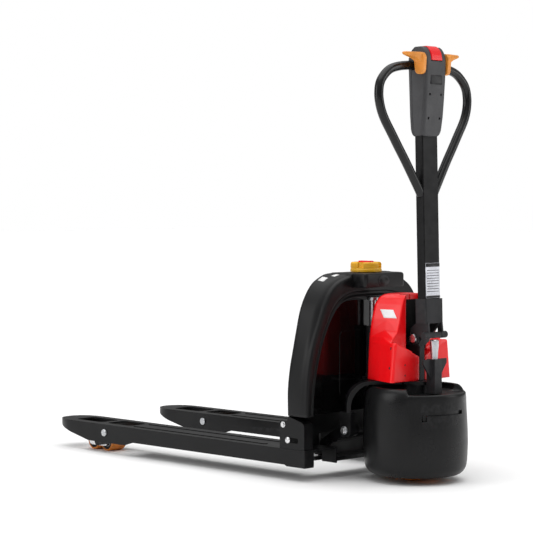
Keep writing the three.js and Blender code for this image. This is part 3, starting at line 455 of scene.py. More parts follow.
def soften(obj, width, steps=3, angle=32):
    """Rounded edges: a bevel on the sharp edges, with the faces' normals kept flat."""
    weld = obj.modifiers.new("weld", "WELD")
    weld.merge_threshold = 0.00002
    bevel = obj.modifiers.new("bevel", "BEVEL")
    bevel.width = width * MM
    bevel.segments = steps
    bevel.limit_method = "ANGLE"
    bevel.angle_limit = math.radians(angle)
    bevel.harden_normals = True
    bevel.miter_outer = "MITER_ARC"
    bevel.use_clamp_overlap = True
    normals = obj.modifiers.new("normals", "WEIGHTED_NORMAL")
    normals.keep_sharp = True
    normals.weight = 60
    return obj


def melt(obj, voxel, rounds=8, factor=0.5):
    """Remeshes a solid and relaxes it, so that every edge becomes a soft moulded one."""
    mod = obj.modifiers.new("remesh", "REMESH")
    mod.mode = "VOXEL"
    mod.voxel_size = voxel * MM
    mod.use_smooth_shade = True
    relax = obj.modifiers.new("relax", "SMOOTH")
    relax.factor = factor
    relax.iterations = rounds
    bake(obj)
    shade_smooth(obj.data)
    return obj


def mirror_copy(obj, name):
    """The same piece on the other side of the centre plane."""
    mesh = obj.data.copy()
    mesh.transform(Matrix.Diagonal((1, -1, 1, 1)))
    mesh.flip_normals()
    twin = add(name, mesh)
    for mod in obj.modifiers:
        copy = twin.modifiers.new(mod.name, mod.type)
        for prop in mod.bl_rna.properties:
            if not prop.is_readonly and prop.identifier not in ("name", "type"):
                try:
                    setattr(copy, prop.identifier, getattr(mod, prop.identifier))
                except (AttributeError, TypeError):
                    pass
    return twin


def cad(node, material, bevel=0.8, steps=3, angle=32):
    """A CAD node keeps its shape and gets its material and softened edges."""
    obj = frame["nodes"][node]
    obj.data.materials.clear()
    obj.data.materials.append(material)
    shade_smooth(obj.data)
    soften(obj, bevel, steps, angle)
    return obj


SIDES = (("left", 1), ("right", -1))


# ---------------------------------------------------------------- cowl
REAR_EDGE = [(284, 190), (281, 262), (274, 321), (260.5, 379), (243, 428), (221, 477), (204, 515),
             (185, 545), (161.5, 567), (131, 582), (95, 592.5)]
FRONT_EDGE = [(283, 190), (284, 262), (276, 325), (264, 377), (251, 430), (237, 484), (222, 520),
              (206, 546), (190, 565), (170, 580), (133, 596), (101, 599.6)]
RECESS_EDGE = [(252, 190), (248, 250), (237.5, 311), (214, 390), (188.5, 443), (167.5, 475),
               (143.5, 502), (121, 517), (92, 525.5), (58, 529)]
# the crown: half widths of the rear edge, the front edge and the recess mouth, and the first two heights
CROWN = [(92.8, 99.4, 56, 599.2, 600.6), (90, 97, 54, 601, 601), (60, 64, 36, 601, 601), (30, 32, 18, 601, 601),
         (0, 0, 0, 601, 601)]
MOUTH_TOP = 529
ARCH_POINTS = 64                    # points up each half arch
# the groove and the bead round the recess mouth: distance out from the mouth, depth behind the rim
GROOVE = [(19.2, 0.4), (17.6, 2.2), (16.4, 5.5), (14.5, 8.5), (10.5, 9.5), (6.5, 8.6), (4.6, 6.2), (3.2, 4.6),
          (1.6, 4.4), (0.3, 5.8), (-0.4, 9)]


def half_arch(edge):
    return even(smooth_line(edge, 6), ARCH_POINTS)


def inward(edge):
    """Unit normals of a left half edge that climbs from the floor, pointing into the arch."""
    out = []
    for i in range(len(edge)):
        d = (edge[min(i + 1, len(edge) - 1)] - edge[max(i - 1, 0)]).normalized()
        out.append(Vector((-abs(d.y), -abs(d.x) if d.x < 0 else 0)))
    return out


def cowl_section(rear, front, mouth, n_rear, n_front, n_mouth):
    """One slice through the shell, from the front flange round the outside to the recess panel."""
    def on_rear(d, dx):
        p = rear + n_rear * d
        return (RIM_X + dx, p.x, p.y)

    def between(t, d, dx=0.0):
        p = rear.lerp(front, t) + n_rear.lerp(n_front, t) * d
        return (RIM_X + (COWL_FRONT - RIM_X) * t + dx, p.x, p.y)

    def at_mouth(d, dx):
        p = mouth - n_mouth * d
        return (RIM_X + dx, p.x, p.y)

    def wall(d, x):
        p = mouth - n_mouth * d
        return (x, p.x, p.y)

    width = (rear - mouth).length
    k = min(1.0, width / 58)
    pts = [between(1, 9), between(1, 5), between(1, 2.2, -0.7), between(1, 0.6, -2.6), between(1, 0, -5)]
    pts += [between(t, -0.6 * math.sin(math.pi * t)) for t in (0.8, 0.6, 0.4, 0.2)]
    pts += [between(0, 0, 14), on_rear(0, 11 * k), on_rear(0.7 * k, 6.5 * k), on_rear(2.6 * k, 2.8 * k),
            on_rear(5.6 * k, 0.7), on_rear(9.5 * k, 0)]
    band_start, band_end = rear + n_rear * 9.5 * k, mouth - n_mouth * 19.2 * k
    for t in (0.33, 0.66):
        p = band_start.lerp(band_end, t)
        pts.append((RIM_X - 0.3, p.x, p.y))
    pts += [at_mouth(d * k, dx * k) for d, dx in GROOVE]
    pts += [wall(-1.0, PANEL_X - 8), wall(-2.4, PANEL_X - 3), wall(-5.5, PANEL_X - 0.8), wall(-9, PANEL_X - 0.3)]
    pts += [wall(-9, PANEL_X), wall(6, PANEL_X)]
    return pts


def cowl():
    rear, front, mouth = half_arch(REAR_EDGE), half_arch(FRONT_EDGE), half_arch(RECESS_EDGE)
    sections = [cowl_section(*row) for row in zip(rear, front, mouth, inward(rear), inward(front), inward(mouth))]
    down = Vector((0, -1))
    crown = []
    for y_rear, y_front, y_mouth, z_rear, z_front in CROWN:
        crown.append(cowl_section(Vector((y_rear, z_rear)), Vector((y_front, z_front)), Vector((y_mouth, MOUTH_TOP)),
                                  down, down, down))
    left = sections + crown
    right = [[(x, -y, z) for x, y, z in row] for row in left[:-1]][::-1]
    return loft("cowl_shell", left + right, COWL)


piece(cowl(), "lift_frame", "cowl")
cad("recess_panel", GLOSS, 2.2, 4)


# ---------------------------------------------------------------- top box, stop switch, marks
def top_box():
    plan = [(-6.3, -89), (-6.3, 89), (BOX_REAR, 87), (BOX_REAR, -87)]
    loops = []
    for z, d in ((558, 3.5), (559.2, 1.2), (562, 0), (593, 0), (597, 0.8), (599.6, 2.6), (600.8, 5), (CROWN_Z, 8)):
        inset = [(x + (d if x < -10 else 0), y - math.copysign(d, y)) for x, y in plan]
        loops.append([(x, y, z) for x, y in fillet(inset, [0, 0, 12, 12], 6)])
    return loft("top_cap", loops, COWL)


def stop_ring():
    base = CROWN_Z + 0.3
    ring = lathe("stop_collar", [(31.2, base)] + fillet([(47, base), (47, 610), (45.3, 612), (45.3, 628), (42.5, 631),
                                                         (33, 631)], [0.6, 1, 1, 1, 1.5, 1.5], 3)
                 + [(31.8, 629), (31.2, 606)], (STOP_X, 0, 0), "z", YELLOW, 120)
    for k in range(4):
        t = (k + 0.22) * math.pi / 2
        notch = prism("notch", round_rect(38, 60, -9, 9, 2.5), 614.5, 640, "z", YELLOW)
        turn = (Matrix.Translation(place(STOP_X, 0, 0)) @ Matrix.Rotation(t, 4, "Z")
                @ Matrix.Translation(-place(0, 0, 0)))
        notch.data.transform(turn)
        cut(ring, notch)
    return soften(ring, 0.5, 2)


def stop_ribs():
    """Fine grip ribs round the collar's upper wall."""
    verts, faces = [], []
    count = 88
    for k in range(count):
        t = 2 * math.pi * k / count
        if abs(((t / (math.pi / 2) - 0.22 + 0.5) % 1) - 0.5) < 0.155:
            continue
        c, s = math.cos(t), math.sin(t)
        for r, w in ((45.0, 0.9), (46.1, 0.45)):
            for z in (613.5, 626.5):
                for side in (-1, 1):
                    verts.append((STOP_X + r * c - side * w * s, r * s + side * w * c, z))
        b = len(verts) - 8
        faces += [[b, b + 1, b + 3, b + 2], [b + 4, b + 6, b + 7, b + 5], [b, b + 4, b + 5, b + 1],
                  [b + 2, b + 3, b + 7, b + 6], [b, b + 2, b + 6, b + 4], [b + 1, b + 5, b + 7, b + 3]]
    obj = solid("stop_collar_ribs", verts, faces, YELLOW)
    obj.data.polygons.foreach_set("use_smooth", [False] * len(obj.data.polygons))
    return obj


def stop_knob():
    disc = lathe("stop_turn_knob", [(0, 615)] + fillet([(30, 615), (30, 624), (27, 627.5), (13, 627.5)],
                                                       [1, 1.5, 2, 0], 3)[:-1] + [(0, 627.5)],
                 (STOP_X, 0, 0), "z", RED, 96)
    bar = prism("bar", fillet([(-4, -8), (21, -11), (46, -8), (46, 8), (21, 11), (-4, 8)], [5, 8, 5, 5, 8, 5], 5),
                622, 634.5, "z", RED)
    stem = lathe("stem", [(0, 606.5), (10, 606.5), (10, 618), (0, 618)], (STOP_X, 0, 0), "z", RED, 32)
    return soften(join(disc, bar, stem), 1.3, 3)


def marks():
    """Plain film patches on the shoulder and a blank oval plug: nothing is printed on them."""
    rear, front = half_arch(REAR_EDGE), half_arch(FRONT_EDGE)
    normals = inward(rear)

    def shoulder(i, t, lift):
        p = rear[i].lerp(front[i], t) - normals[i] * lift
        return (RIM_X + (COWL_FRONT - RIM_X) * t, p.x, p.y)

    for name, y_out, y_in, t0, t1 in (("shoulder_film_a", 160, 134, 0.60, 0.86),
                                      ("shoulder_film_b", 127, 100, 0.46, 0.62)):
        rows = [i for i, p in enumerate(rear) if y_in <= p.x <= y_out]
        verts, faces = [], []
        for i in rows:
            for t in (t0, t1):
                for lift in (0.3, 0.9):
                    verts.append(shoulder(i, t, lift))
        n = len(rows) - 1
        for k in range(n):
            b = 4 * k
            faces += [[b, b + 2, b + 6, b + 4], [b + 1, b + 5, b + 7, b + 3], [b, b + 4, b + 5, b + 1],
                      [b + 2, b + 3, b + 7, b + 6]]
        faces += [[0, 1, 3, 2], [4 * n, 4 * n + 2, 4 * n + 3, 4 * n + 1]]
        piece(solid(name, verts, faces, WHITE), "lift_frame")
    for name, half_y, half_z, d0, d1, m in (("blank_plug", 24, 16.5, 0.2, 1.4, CAST),
                                            ("blank_plug_pad", 18, 11.5, 1.2, 2.2, COWL)):
        loops = []
        for grow, d in ((0, d0), (0, d1 - 0.4), (-0.6, d1)):
            loops.append([(BOX_REAR - d, 8 + (half_y + grow) * math.cos(q), 577 + (half_z + grow) * math.sin(q))
                          for q in (2 * math.pi * k / 64 for k in range(64))])
        piece(loft(name, loops, m), "lift_frame")


piece(top_box(), "lift_frame", "top_box")
piece(stop_ring(), "lift_frame", "stop_ring")
piece(stop_ribs(), "lift_frame")
piece(stop_knob(), "stop_knob", "stop_handle")
marks()


# ---------------------------------------------------------------- forks, risers and load gear
for name, _ in SIDES:
    for node, material, width, steps in (
            ("fork_", PAINT, 1.8, 3), ("riser_", PAINT, 2.2, 4), ("guard_pin_", STEEL, 0.8, 3),
            ("lever_", PAINT, 0.8, 2), ("bogie_", ZINC, 0.6, 2), ("push_rod_", PAINT, 0.6, 2),
            ("rocker_pin_", STEEL, 1.2, 3)):
        cad(node + name, material, width, steps)
for node, material, width, steps in (
        ("frame_wall", PAINT, 1.2, 2), ("cross_plate", PAINT, 1.2, 2), ("battery_pack", RUBBER, 2.0, 3),
        ("piston_rod", STEEL, 0.6, 2), ("rocker", PAINT, 1.6, 3), ("yoke", PAINT, 2.2, 3),
        ("slew_ring", STEEL, 0.8, 2), ("lift_cylinder", CAST, 0.8, 2)):
    cad(node, material, width, steps)


def load_rollers():
    tread = fillet([(24.2, -30.8), (28, -30.8), (ROLLER_R - 0.2, -27), (ROLLER_R - 0.2, 27), (28, 30.8), (24.2, 30.8)],
                   [0.5, 2.5, 3, 3, 2.5, 0.5], 4)
    half = [(24, 29.4), (22.5, 30.6), (20.5, 30.6), (18.4, 28.6), (17.2, 26.2), (13.5, 25.6), (12.2, 28), (8.6, 28.2),
            (8.4, 24)]
    hub = half + [(r, -s) for r, s in half[::-1]]
    for side, sign in SIDES:
        for where in ("rear", "front"):
            body = f"wheel_{where}_{side}"
            joint = JOINTS[body + "_spin"]["pos_m"]
            x = (joint[0] - HEEL_X) / MM
            centre = (x, sign * FORK_MID, ROLLER_R)
            ring = lathe(f"tread_{where}_{side}", tread, centre, "y", TREAD, 72)
            piece(ring, body, f"roller_{where}_{side}")
            piece(lathe(f"roller_hub_{where}_{side}", hub, centre, "y", CAST, 56), body)
            for y in (-26.8, 26.8):
                race = lathe(f"race_{where}_{side}_{'in' if y * sign < 0 else 'out'}",
                             [(12.9, y - 1.4), (15.6, y - 1.4), (15.6, y + 1.4), (12.9, y + 1.4)],
                             centre, "y", STEEL, 48)
                piece(race, body)


def ring_clip(name, centre, r, body):
    """An open spring ring round a pin that lies across the jack."""
    pts = []
    for k in range(25):
        t = math.radians(35 + 290 * k / 24)
        pts.append((centre[0] + r * math.cos(t), centre[1], centre[2] + r * math.sin(t)))
    return piece(sweep(name, pts, 1.0, ZINC, n=10), body)


def hex_head(name, centre, across, height, sign, body):
    """A plain hexagon head that faces sideways."""
    x, y, z = centre
    r = across / math.sqrt(3)
    loops = [[(r * math.cos(math.pi / 3 * k) * grow + x, y + sign * w, r * math.sin(math.pi / 3 * k) * grow + z)
              for k in range(6)] for w, grow in ((0, 1.0), (height - 0.8, 1.0), (height, 0.86))]
    return piece(soften(loft(name, loops, ZINC), 0.3, 2), body)


def washer(name, centre, r, thick, sign, body):
    a, b = sorted((0, sign * thick))
    ring = fillet([(r * 0.42, a), (r, a), (r, b), (r * 0.42, b)], 0.4, 2)
    return piece(lathe(name, ring, centre, "y", ZINC, 40), body)


def frame_fixings():
    for side, s in SIDES:
        # domed stud, and beside it a thin flat slot-shaped patch of painted shadow for the shade the stud casts
        stud = lathe("heel_stud_" + side, [(0, 0), (9.5, 0), (9.8, 1.6), (9, 3.4), (6.5, 4.8), (0, 5.4)] if s > 0 else
                     [(0, 0), (9.5, 0), (9.8, -1.6), (9, -3.4), (6.5, -4.8), (0, -5.4)], (68, s * (HALF_W - 0.8), 119),
                     "y", ZINC, 48)
        piece(stud, "lift_frame")
        # painted shadow: a flat near-black patch on the riser's face, not an opening
        slot = prism("heel_stud_shadow_" + side, round_rect(28, 62, 111.5, 126.5, 7, 8),
                     s * (HALF_W - 1.2), s * (HALF_W - 0.55), "y", SHADE_BLACK)
        piece(slot, "lift_frame")
        washer("flange_washer_" + side, (88, s * (HALF_W - 0.9), 163), 9, 1.1, s, "lift_frame")
        hex_head("flange_bolt_" + side, (88, s * (HALF_W + 0.2), 163), 10, 3.4, s, "lift_frame")
        ring_clip("guard_clip_out_" + side, (895, s * 289.4, 66), 9.2, "lift_frame")
        hex_head("rocker_bolt_" + side, (-47, s * 172.2, 147), 15, 5.2, s, "chassis")


load_rollers()
frame_fixings()


# ---------------------------------------------------------------- drive unit
COVER_BASE = [(116, 23), (117, 20.4), (122, 20), (127.5, 21), (134, 24.5), (139.5, 29.5), (143.5, 35.5), (146.6, 42),
              (148.7, 50), (150.3, 62), (151.5, 80), (152.5, 112), (COVER_R, 150), (152.7, 185), (151.8, 212)]
REAR_RIM = [(150.9, 232), (150.3, 245), (149.8, 252), (148.9, 256.4), (147, 259.3), (144.4, 260.6), (141.8, 260.2),
            (139.6, 258.5), (137.6, 257.2), (131, 256.6), (118, 256.2), (95, 255.4)]
FRONT_RIM = [(150.8, 232), (149.9, 243), (148.3, 253), (145.6, 262), (141.6, 269.6), (136.6, 274.6), (130.8, 276.8),
             (125.4, 276.2), (121.8, 273.2), (120, 267.5), (116, 261), (95, 255.4)]
COVER_FLOOR = [(60, 255), (39.4, 255), (39.4, 249.2), (126, 248.8), (133, 244), (137.8, 236), (138.4, 80), (135.5, 50),
               (124, 26)]


def smooth_step(a, b, v):
    t = min(1.0, max(0.0, (v - a) / (b - a)))
    return t * t * (3 - 2 * t)


def cover_radius(beta, z, r):
    """The rear part is drawn in above mid height, which leaves a soft crease at each side."""
    side = abs(math.degrees(beta))
    return r - 3.5 * (1 - smooth_step(53, 59, side)) * smooth_step(105, 215, z)


def drive_cover():
    n = 288
    sections = []
    for k in range(n):
        b = 2 * math.pi * k / n
        beta = b - 2 * math.pi if b > math.pi else b
        front = smooth_step(57.5, 61.5, abs(math.degrees(beta)))
        rim = [(ra + (fa - ra) * front, rz + (fz - rz) * front) for (ra, rz), (fa, fz) in zip(REAR_RIM, FRONT_RIM)]
        row = []
        outer = COVER_BASE + rim
        for i, (r, z) in enumerate(outer + COVER_FLOOR):
            rr = cover_radius(beta, z, r) if i < len(outer) and r > 120 else r
            row.append((AXIS_X - rr * math.cos(b), rr * math.sin(b), z))
        sections.append(row)
    shell = loft("drive_shroud", sections, COVER, closed=True)

    def band(b0, b1, z0, z1, steps):
        inner, outer = [], []
        for k in range(steps + 1):
            b = math.radians(b0 + (b1 - b0) * k / steps)
            inner.append((AXIS_X - 142.4 * math.cos(b), 142.4 * math.sin(b)))
            outer.append((AXIS_X - 160 * math.cos(b), 160 * math.sin(b)))
        return prism("band", outer + inner[::-1], z0, z1, "z", COVER)
    cut(shell, join(band(-14, 42.5, 202, 213.5, 40), band(37, 42.5, 186, 208, 6)))
    return soften(shell, 1.6, 3, 40)


piece(drive_cover(), "steer_unit", "drive_cover")
for node, material, width, steps in (
        ("drive_bracket", CAST, 1.0, 2), ("gearbox", CAST, 1.5, 3), ("drive_motor", CAST, 1.0, 2),
        ("drive_tyre", TREAD, 1.5, 3), ("drive_hub", CAST, 1.0, 2), ("pump_motor", CAST, 1.0, 2),
        ("oil_tank", BOX, 1.5, 3), ("controller", BOX, 1.0, 2), ("steer_head", CAST, 1.5, 3),
        ("hinge_shaft", STEEL, 1.2, 3), ("steer_post", CAST, 1.6, 3), ("plunger", STEEL, 0.8, 3)):
    cad(node, material, width, steps)

# red covers: z, front x at the centre, front corner x and y, rear corner y
LOBE = [(292.2, -48, -63, 90, 132), (366, -49, -64.5, 88, 124), (402, -49.7, -65.6, 86.8, 119.5),
        (418, -50, -66, 86, 104), (438, -52, -68, 84.5, 82), (470, -55, -71, 82, 71), (512, -64, -78, 76, 60),
        (532, -74, -85, 66, 52), (540, -84, -93, 55, 46), (543, -94, -102, 45, 40)]
LOW_REAR = -200                     # rear face of the wide lower block
HIGH_REAR = -176                    # rear face of the narrower part above the shelf


def lobe_loop(row, d, seam):
    z, fx, ax, ay, cy = row
    corner = [(fx - d, seam), (fx - d - 1, ay * 0.45), (ax + 3 - d, ay - 12), (ax - 1 - d, ay - 4 - d * 0.4),
              (ax - 9, ay + 1 - d), (-130, (ay + cy) / 2 + 1 - d), (-190, cy - 1.5 - d), (-197 + d * 0.8, cy - 3 - d),
              (LOW_REAR + d, cy - 8 - d), (LOW_REAR + d, 20), (LOW_REAR + d, seam)]
    return [(x, y, z) for x, y in fillet(corner, [0, 0, 14, 10, 12, 30, 4, 3, 4, 0, 0], 4, same_count=True)]


def shelf_cut(grow):
    """What is cut away above the slanted shelf."""
    half = [(8, 364 - grow), (130, 413.5 - grow), (170, 413.5 - grow), (170, 620)]
    both = half + [(-y, z) for y, z in half][::-1]
    return prism("shelf", both, -240, HIGH_REAR + grow, "x", RED)


def tiller_slot(grow):
    half = [(12 + grow, 270), (12 + grow, 362 - grow), (44 + grow, 376 - grow), (44 + grow, 560)]
    both = half + [(-y, z) for y, z in half][::-1]
    return prism("slot", both, -230, -150 + grow, "x", RED)


def power_cover():
    outer = loft("power_shell_left", [lobe_loop(row, 0, 0.2) for row in LOBE], RED)
    rows = [list(row) for row in LOBE]
    rows[0][0], rows[-2][0], rows[-1][0] = 285, 535, 538
    core = cut(loft("core", [lobe_loop(row, 4.2, 0.1) for row in rows], RED), tiller_slot(4.2), shelf_cut(4.2))
    cut(outer, tiller_slot(0), shelf_cut(0))
    channel = prism("channel", fillet([(127.5, 314), (150, 314), (150, 404), (117, 404)], [3, 0, 0, 3], 4),
                    -196.5, -181, "x", RED)
    cut(outer, channel)
    cut(outer, core)
    return melt(outer, 1.7, 7)


def power_covers():
    left = power_cover()
    right = mirror_copy(left, "power_shell_right")
    piece(left, "steer_unit", "power_cover_left")
    piece(right, "steer_unit", "power_cover_right")
    # painted shade: a thin near-black liner inside the slot between the covers that darkens the slot's depth
    shade_liner = [(-174.5, -43.6), (-174.5, -42.6), (-151.6, -42.6), (-151.6, 42.6), (-174.5, 42.6), (-174.5, 43.6),
             (-150.3, 43.6), (-150.3, -43.6)]
    piece(prism("slot_shade_liner", shade_liner, 381, 526, "z", SHADE_BLACK), "steer_unit")
    for side, s in SIDES:
        for k, z in enumerate((334, 390)):
            y = s * (127.5 - (z - 314) * 0.115 - 3)
            piece(lathe(f"cover_screw_{side}_{k}", [(0, 0), (4.4, 0), (4.6, -1.2), (4.0, -2.6), (0, -3.0)],
                        (-181.6, y, z), "x", CAST, 32), "steer_unit")
        for k, z in enumerate((311, 341)):
            piece(lathe(f"cover_plug_{side}_{k}", [(0, 0.8), (2.7, 0.8), (2.7, -0.1), (2.1, -0.6), (0, -0.6)],
                        (-200.1, s * 76, z), "x", CAST, 28), "steer_unit")
    flank_film("flank_film", -104, 44, 16, 474, 498)


def flank_y(x, z):
    """Outside of the red cover's left flank."""
    for a, b in zip(LOBE, LOBE[1:]):
        if a[0] <= z <= b[0]:
            t = (z - a[0]) / (b[0] - a[0])
            ax, ay, cy = (a[i] + (b[i] - a[i]) * t for i in (2, 3, 4))
            line = [(ax - 9, ay + 1), (-130, (ay + cy) / 2 + 1), (-190, cy - 1.5)]
            for (x0, y0), (x1, y1) in zip(line, line[1:]):
                if x >= x1:
                    return y0 + (y1 - y0) * (x - x0) / (x1 - x0)
    raise ValueError((x, z))


def flank_film(name, x_top, wide, slant, z0, z1):
    """A blank slanted film laid on the flank."""
    cols, rows = 10, 6
    verts, faces = [], []
    for lift in (-0.6, 0.7):
        for r in range(rows + 1):
            z = z0 + (z1 - z0) * r / rows
            for c in range(cols + 1):
                x = x_top - slant * (1 - r / rows) - wide * c / cols
                verts.append((x, flank_y(x, z) + lift, z))
    layer, across_row = (rows + 1) * (cols + 1), cols + 1
    for r in range(rows):
        for c in range(cols):
            a = r * across_row + c
            quad = [a, a + 1, a + 1 + across_row, a + across_row]
            faces += [quad, [v + layer for v in quad]]
    rim = list(range(cols)) + [r * across_row + cols for r in range(rows)]
    rim += [rows * across_row + c for c in range(cols, 0, -1)] + [r * across_row for r in range(rows, 0, -1)]
    for a, b in zip(rim, rim[1:] + rim[:1]):
        faces.append([a, b, b + layer, a + layer])
    piece(solid(name, verts, faces, WHITE), "steer_unit")


power_covers()


# ---------------------------------------------------------------- tiller
LOOP_LINE = [(31, 785), (50, 786), (70, 786), (111, 781), (146, 771), (173, 752), (190, 730), (196, 702), (194, 676),
             (186, 650), (172, 624), (147, 589), (121, 552), (92, 512), (62, 468), (36.5, 430), (27, 414)]


def loop_handle(side, sign):
    pts = []
    for y, z in smooth_line(LOOP_LINE, 7):
        t = min(1.0, max(0.0, (z - 430) / 355))
        pts.append((TUBE_X + (LOOP_X - TUBE_X) * t, sign * y, z))
    return piece(sweep("grip_loop_" + side, pts, 13, GRIP, on_tiller, 32), "tiller", "loop_" + side)


HEAD_ROWS = [(583, -55, -22, 32), (584.5, -57.6, -19.6, 35), (588, -59.5, -17.5, 38.5), (595, -61.5, -16, 41.5),
             (604, -63, -15, 43.5), (640, -68.5, -14, 45), (690, -74, -13.5, 45.5), (745, -79, -13, 46),
             (795, -81.5, -12.5, 46.5)]
HEAD_MID = -47                      # the dome's centre
HEAD_TOP = 842
SCREW_Z = (634, 702)


def head_row(z, grow=0.0):
    """Rear face, front face and half width of the head at a height along the tiller."""
    if z <= HEAD_ROWS[-1][0]:
        for a, b in zip(HEAD_ROWS, HEAD_ROWS[1:]):
            if z <= b[0]:
                t = max(0.0, (z - a[0]) / (b[0] - a[0]))
                x0, x1, w = (a[i] + (b[i] - a[i]) * t for i in (1, 2, 3))
                return x0 - grow, x1 + grow, w + grow
    u = (z - 795) / (HEAD_TOP - 795 + grow)
    half = (34.5 + grow) * max(0.0, 1 - u ** 2.3) ** (1 / 2.3)
    return HEAD_MID - half, HEAD_MID + half, 46.5 + grow - 5 * u ** 3


def head_loop(z, x0, x1, w, r, seam, mid=(-26.5, -25.6, -24.4, -23.5)):
    """The head's outline at a height; mid is where the seam runs down each side."""
    m0, m1, m2, m3 = mid
    plan = fillet([(x0, -w), (m0, -w), (m1, -w + seam), (m2, -w + seam), (m3, -w), (x1, -w), (x1, w),
                   (m3, w), (m2, w - seam), (m1, w - seam), (m0, w), (x0, w)],
                  [r, 0, 0, 0, 0, min(r, 9), min(r, 9), 0, 0, 0, 0, r], 7)
    return [(x, y, z) for x, y in plan]


def head_body(name, grow, seam, material):
    heights = [583, 583.6, 584.5, 586, 588, 591, 595, 599, 604, 612, 620, 640, 665, 690, 720, 745, 770, 795, 801, 807,
               812, 816, 820]
    top = [824, 827.5, 830.6, 833.2, 835.4, 837.2, 838.6, 839.6]
    top = [z for z in top if z + max(grow, 0) < 795 + 0.96 * (HEAD_TOP - 795 + grow)]
    loops = []
    for z in [z for z in heights if z < 812]:
        x0, x1, w = head_row(z, grow)
        loops.append(head_loop(z, x0, x1, w, min(12.5, (x1 - x0) / 2 - 0.4), seam))
    for z in [z for z in heights if z >= 812] + top:
        x0, x1, w = head_row(z + max(grow, 0), grow)
        r = max(0.4, min(12.5, (x1 - x0) / 2 - 0.4))
        t = smooth_step(800, 820, z)
        mid = [-26.5 + (HEAD_MID - 1.5 + 26.5) * t, -25.6 + (HEAD_MID - 0.5 + 25.6) * t,
               -24.4 + (HEAD_MID + 0.5 + 24.4) * t, -23.5 + (HEAD_MID + 1.5 + 23.5) * t]
        loops.append(head_loop(z + max(grow, 0), x0, x1, w, r, seam * (1 - t), mid))
    return loft(name, loops, material, on_tiller)


def across(name, outline, y0, y1, material):
    return prism(name, outline, y0, y1, "y", material, frame_of=on_tiller)


def head():
    shell = head_body("head_shell", 0.0, 1.1, HEAD)
    tube_gap = prism("gap", [(TUBE_X - 15.3, -34.3), (TUBE_X + 15.3, -34.3), (TUBE_X + 15.3, 34.3),
                             (TUBE_X - 15.3, 34.3)], 560, 700.3, "z", HEAD, frame_of=on_tiller)
    cutters = [tube_gap]
    for s in (-1, 1):
        cutters.append(sweep("bore", [(LOOP_X, s * 30, 785), (LOOP_X, s * 60, 785.6)], 13.4, HEAD, on_tiller, 48))
    channel = across("channel", fillet([(-100, 797.5), (-60, 797.5), (-48, 818), (-22, 820), (-22, 860), (-100, 860)],
                                       [0, 6, 6, 2, 0, 0], 4), -24.5, 24.5, HEAD)
    core = head_body("core", -12.5, 0.0, HEAD)
    cutters.append(cut(channel, core))
    for y, z in ((18, 760), (-18, 760), (0, 728)):
        cutters.append(lathe("socket", [(0, -24), (8.4, -24), (8.4, -5), (0, -5)], (0, y, z), "x", HEAD, 40, on_tiller))
    for z in SCREW_Z:
        for y in (-24.5, 24.5):
            x = head_row(z)[0]
            cutters.append(lathe("well", [(0, x - 20), (3.9, x - 20), (3.9, x + 3.2), (0, x + 3.2)], (0, y, z), "x",
                                 HEAD, 28, on_tiller))
    cut(shell, *cutters)
    piece(soften(shell, 0.7, 2, 38), "tiller", "head")
    # screw heads in painted-shade black, darkened to stand for the shade in their wells
    for z in SCREW_Z:
        for y in (-24.5, 24.5):
            x = head_row(z)[0] + 2
            piece(lathe(f"head_screw_{z}_{'a' if y > 0 else 'b'}", [(0, x + 1), (3.6, x + 1), (3.6, x), (2.8, x - 0.6),
                                                                    (1.2, x - 0.6), (1.0, x), (0, x)],
                        (0, y, z), "x", SHADE_BLACK, 24, on_tiller), "tiller")
    x0 = head_row(744)[0]
    for name, half, z0, z1, lift, m in (("head_plate", 25, 730, 758, 0.9, CAST),
                                        ("head_plate_pad", 21, 734, 754, 1.5, BOX)):
        plate = prism(name, round_rect(-half, half, z0, z1, 4, 5), x0 - lift, x0 + 2.0, "x", m, 0.3, on_tiller)
        piece(plate, "tiller")


def belly_button():
    zone = across("zone", fillet([(-100, 799.8), (-62, 799.8), (-50, 818), (-31, 821), (-31, 860), (-100, 860)],
                                 [0, 4, 6, 2, 0, 0], 4), -23, 23, RED)
    pad = head_body("stop_pad", 2.4, 0.0, RED)
    cut(pad, head_body("hollow", -5, 0.0, RED))
    return melt(join_common(pad, zone), 0.9, 8)


def join_common(obj, other):
    return cut(obj, other, operation="INTERSECT")


def wing():
    x, z = -61, 778
    lobe = across("wing_left", fillet([(x - 20, z - 19), (x + 9, z - 19), (x + 13.5, z + 18), (x + 17.5, z + 38),
                                       (x + 12, z + 43), (x - 17, z + 43), (x - 25, z + 30)],
                                       [16, 16, 20, 6, 6, 10, 14], 6),
                  47.6, 62, AMBER)

    def section(y, x0, x_low, x1, z0, z1):
        return [(px, y, pz) for px, pz in fillet([(x0, z0), (x_low, z0), (x1, z1), (x0, z1)], 4.5, 4)]

    horn = loft("horn", [section(54, x - 19, x + 3, x + 17, z + 8, z + 43),
                         section(64, x - 18.5, x + 5, x + 16.5, z + 14, z + 43),
                         section(76, x - 17, x + 7, x + 15, z + 22, z + 43),
                         section(87, x - 15, x + 8, x + 14, z + 27, z + 43),
                         section(99, x - 12.5, x + 9, x + 13, z + 30, z + 43),
                         section(111, x - 9.5, x + 9, x + 11.5, z + 33, z + 43.3),
                         section(117, x - 7, x + 8, x + 9.5, z + 34.5, z + 43),
                         section(120.8, x - 3.5, x + 5, x + 6, z + 37, z + 41.5)],
                AMBER, on_tiller)
    return melt(join(lobe, horn), 1.2, 10)


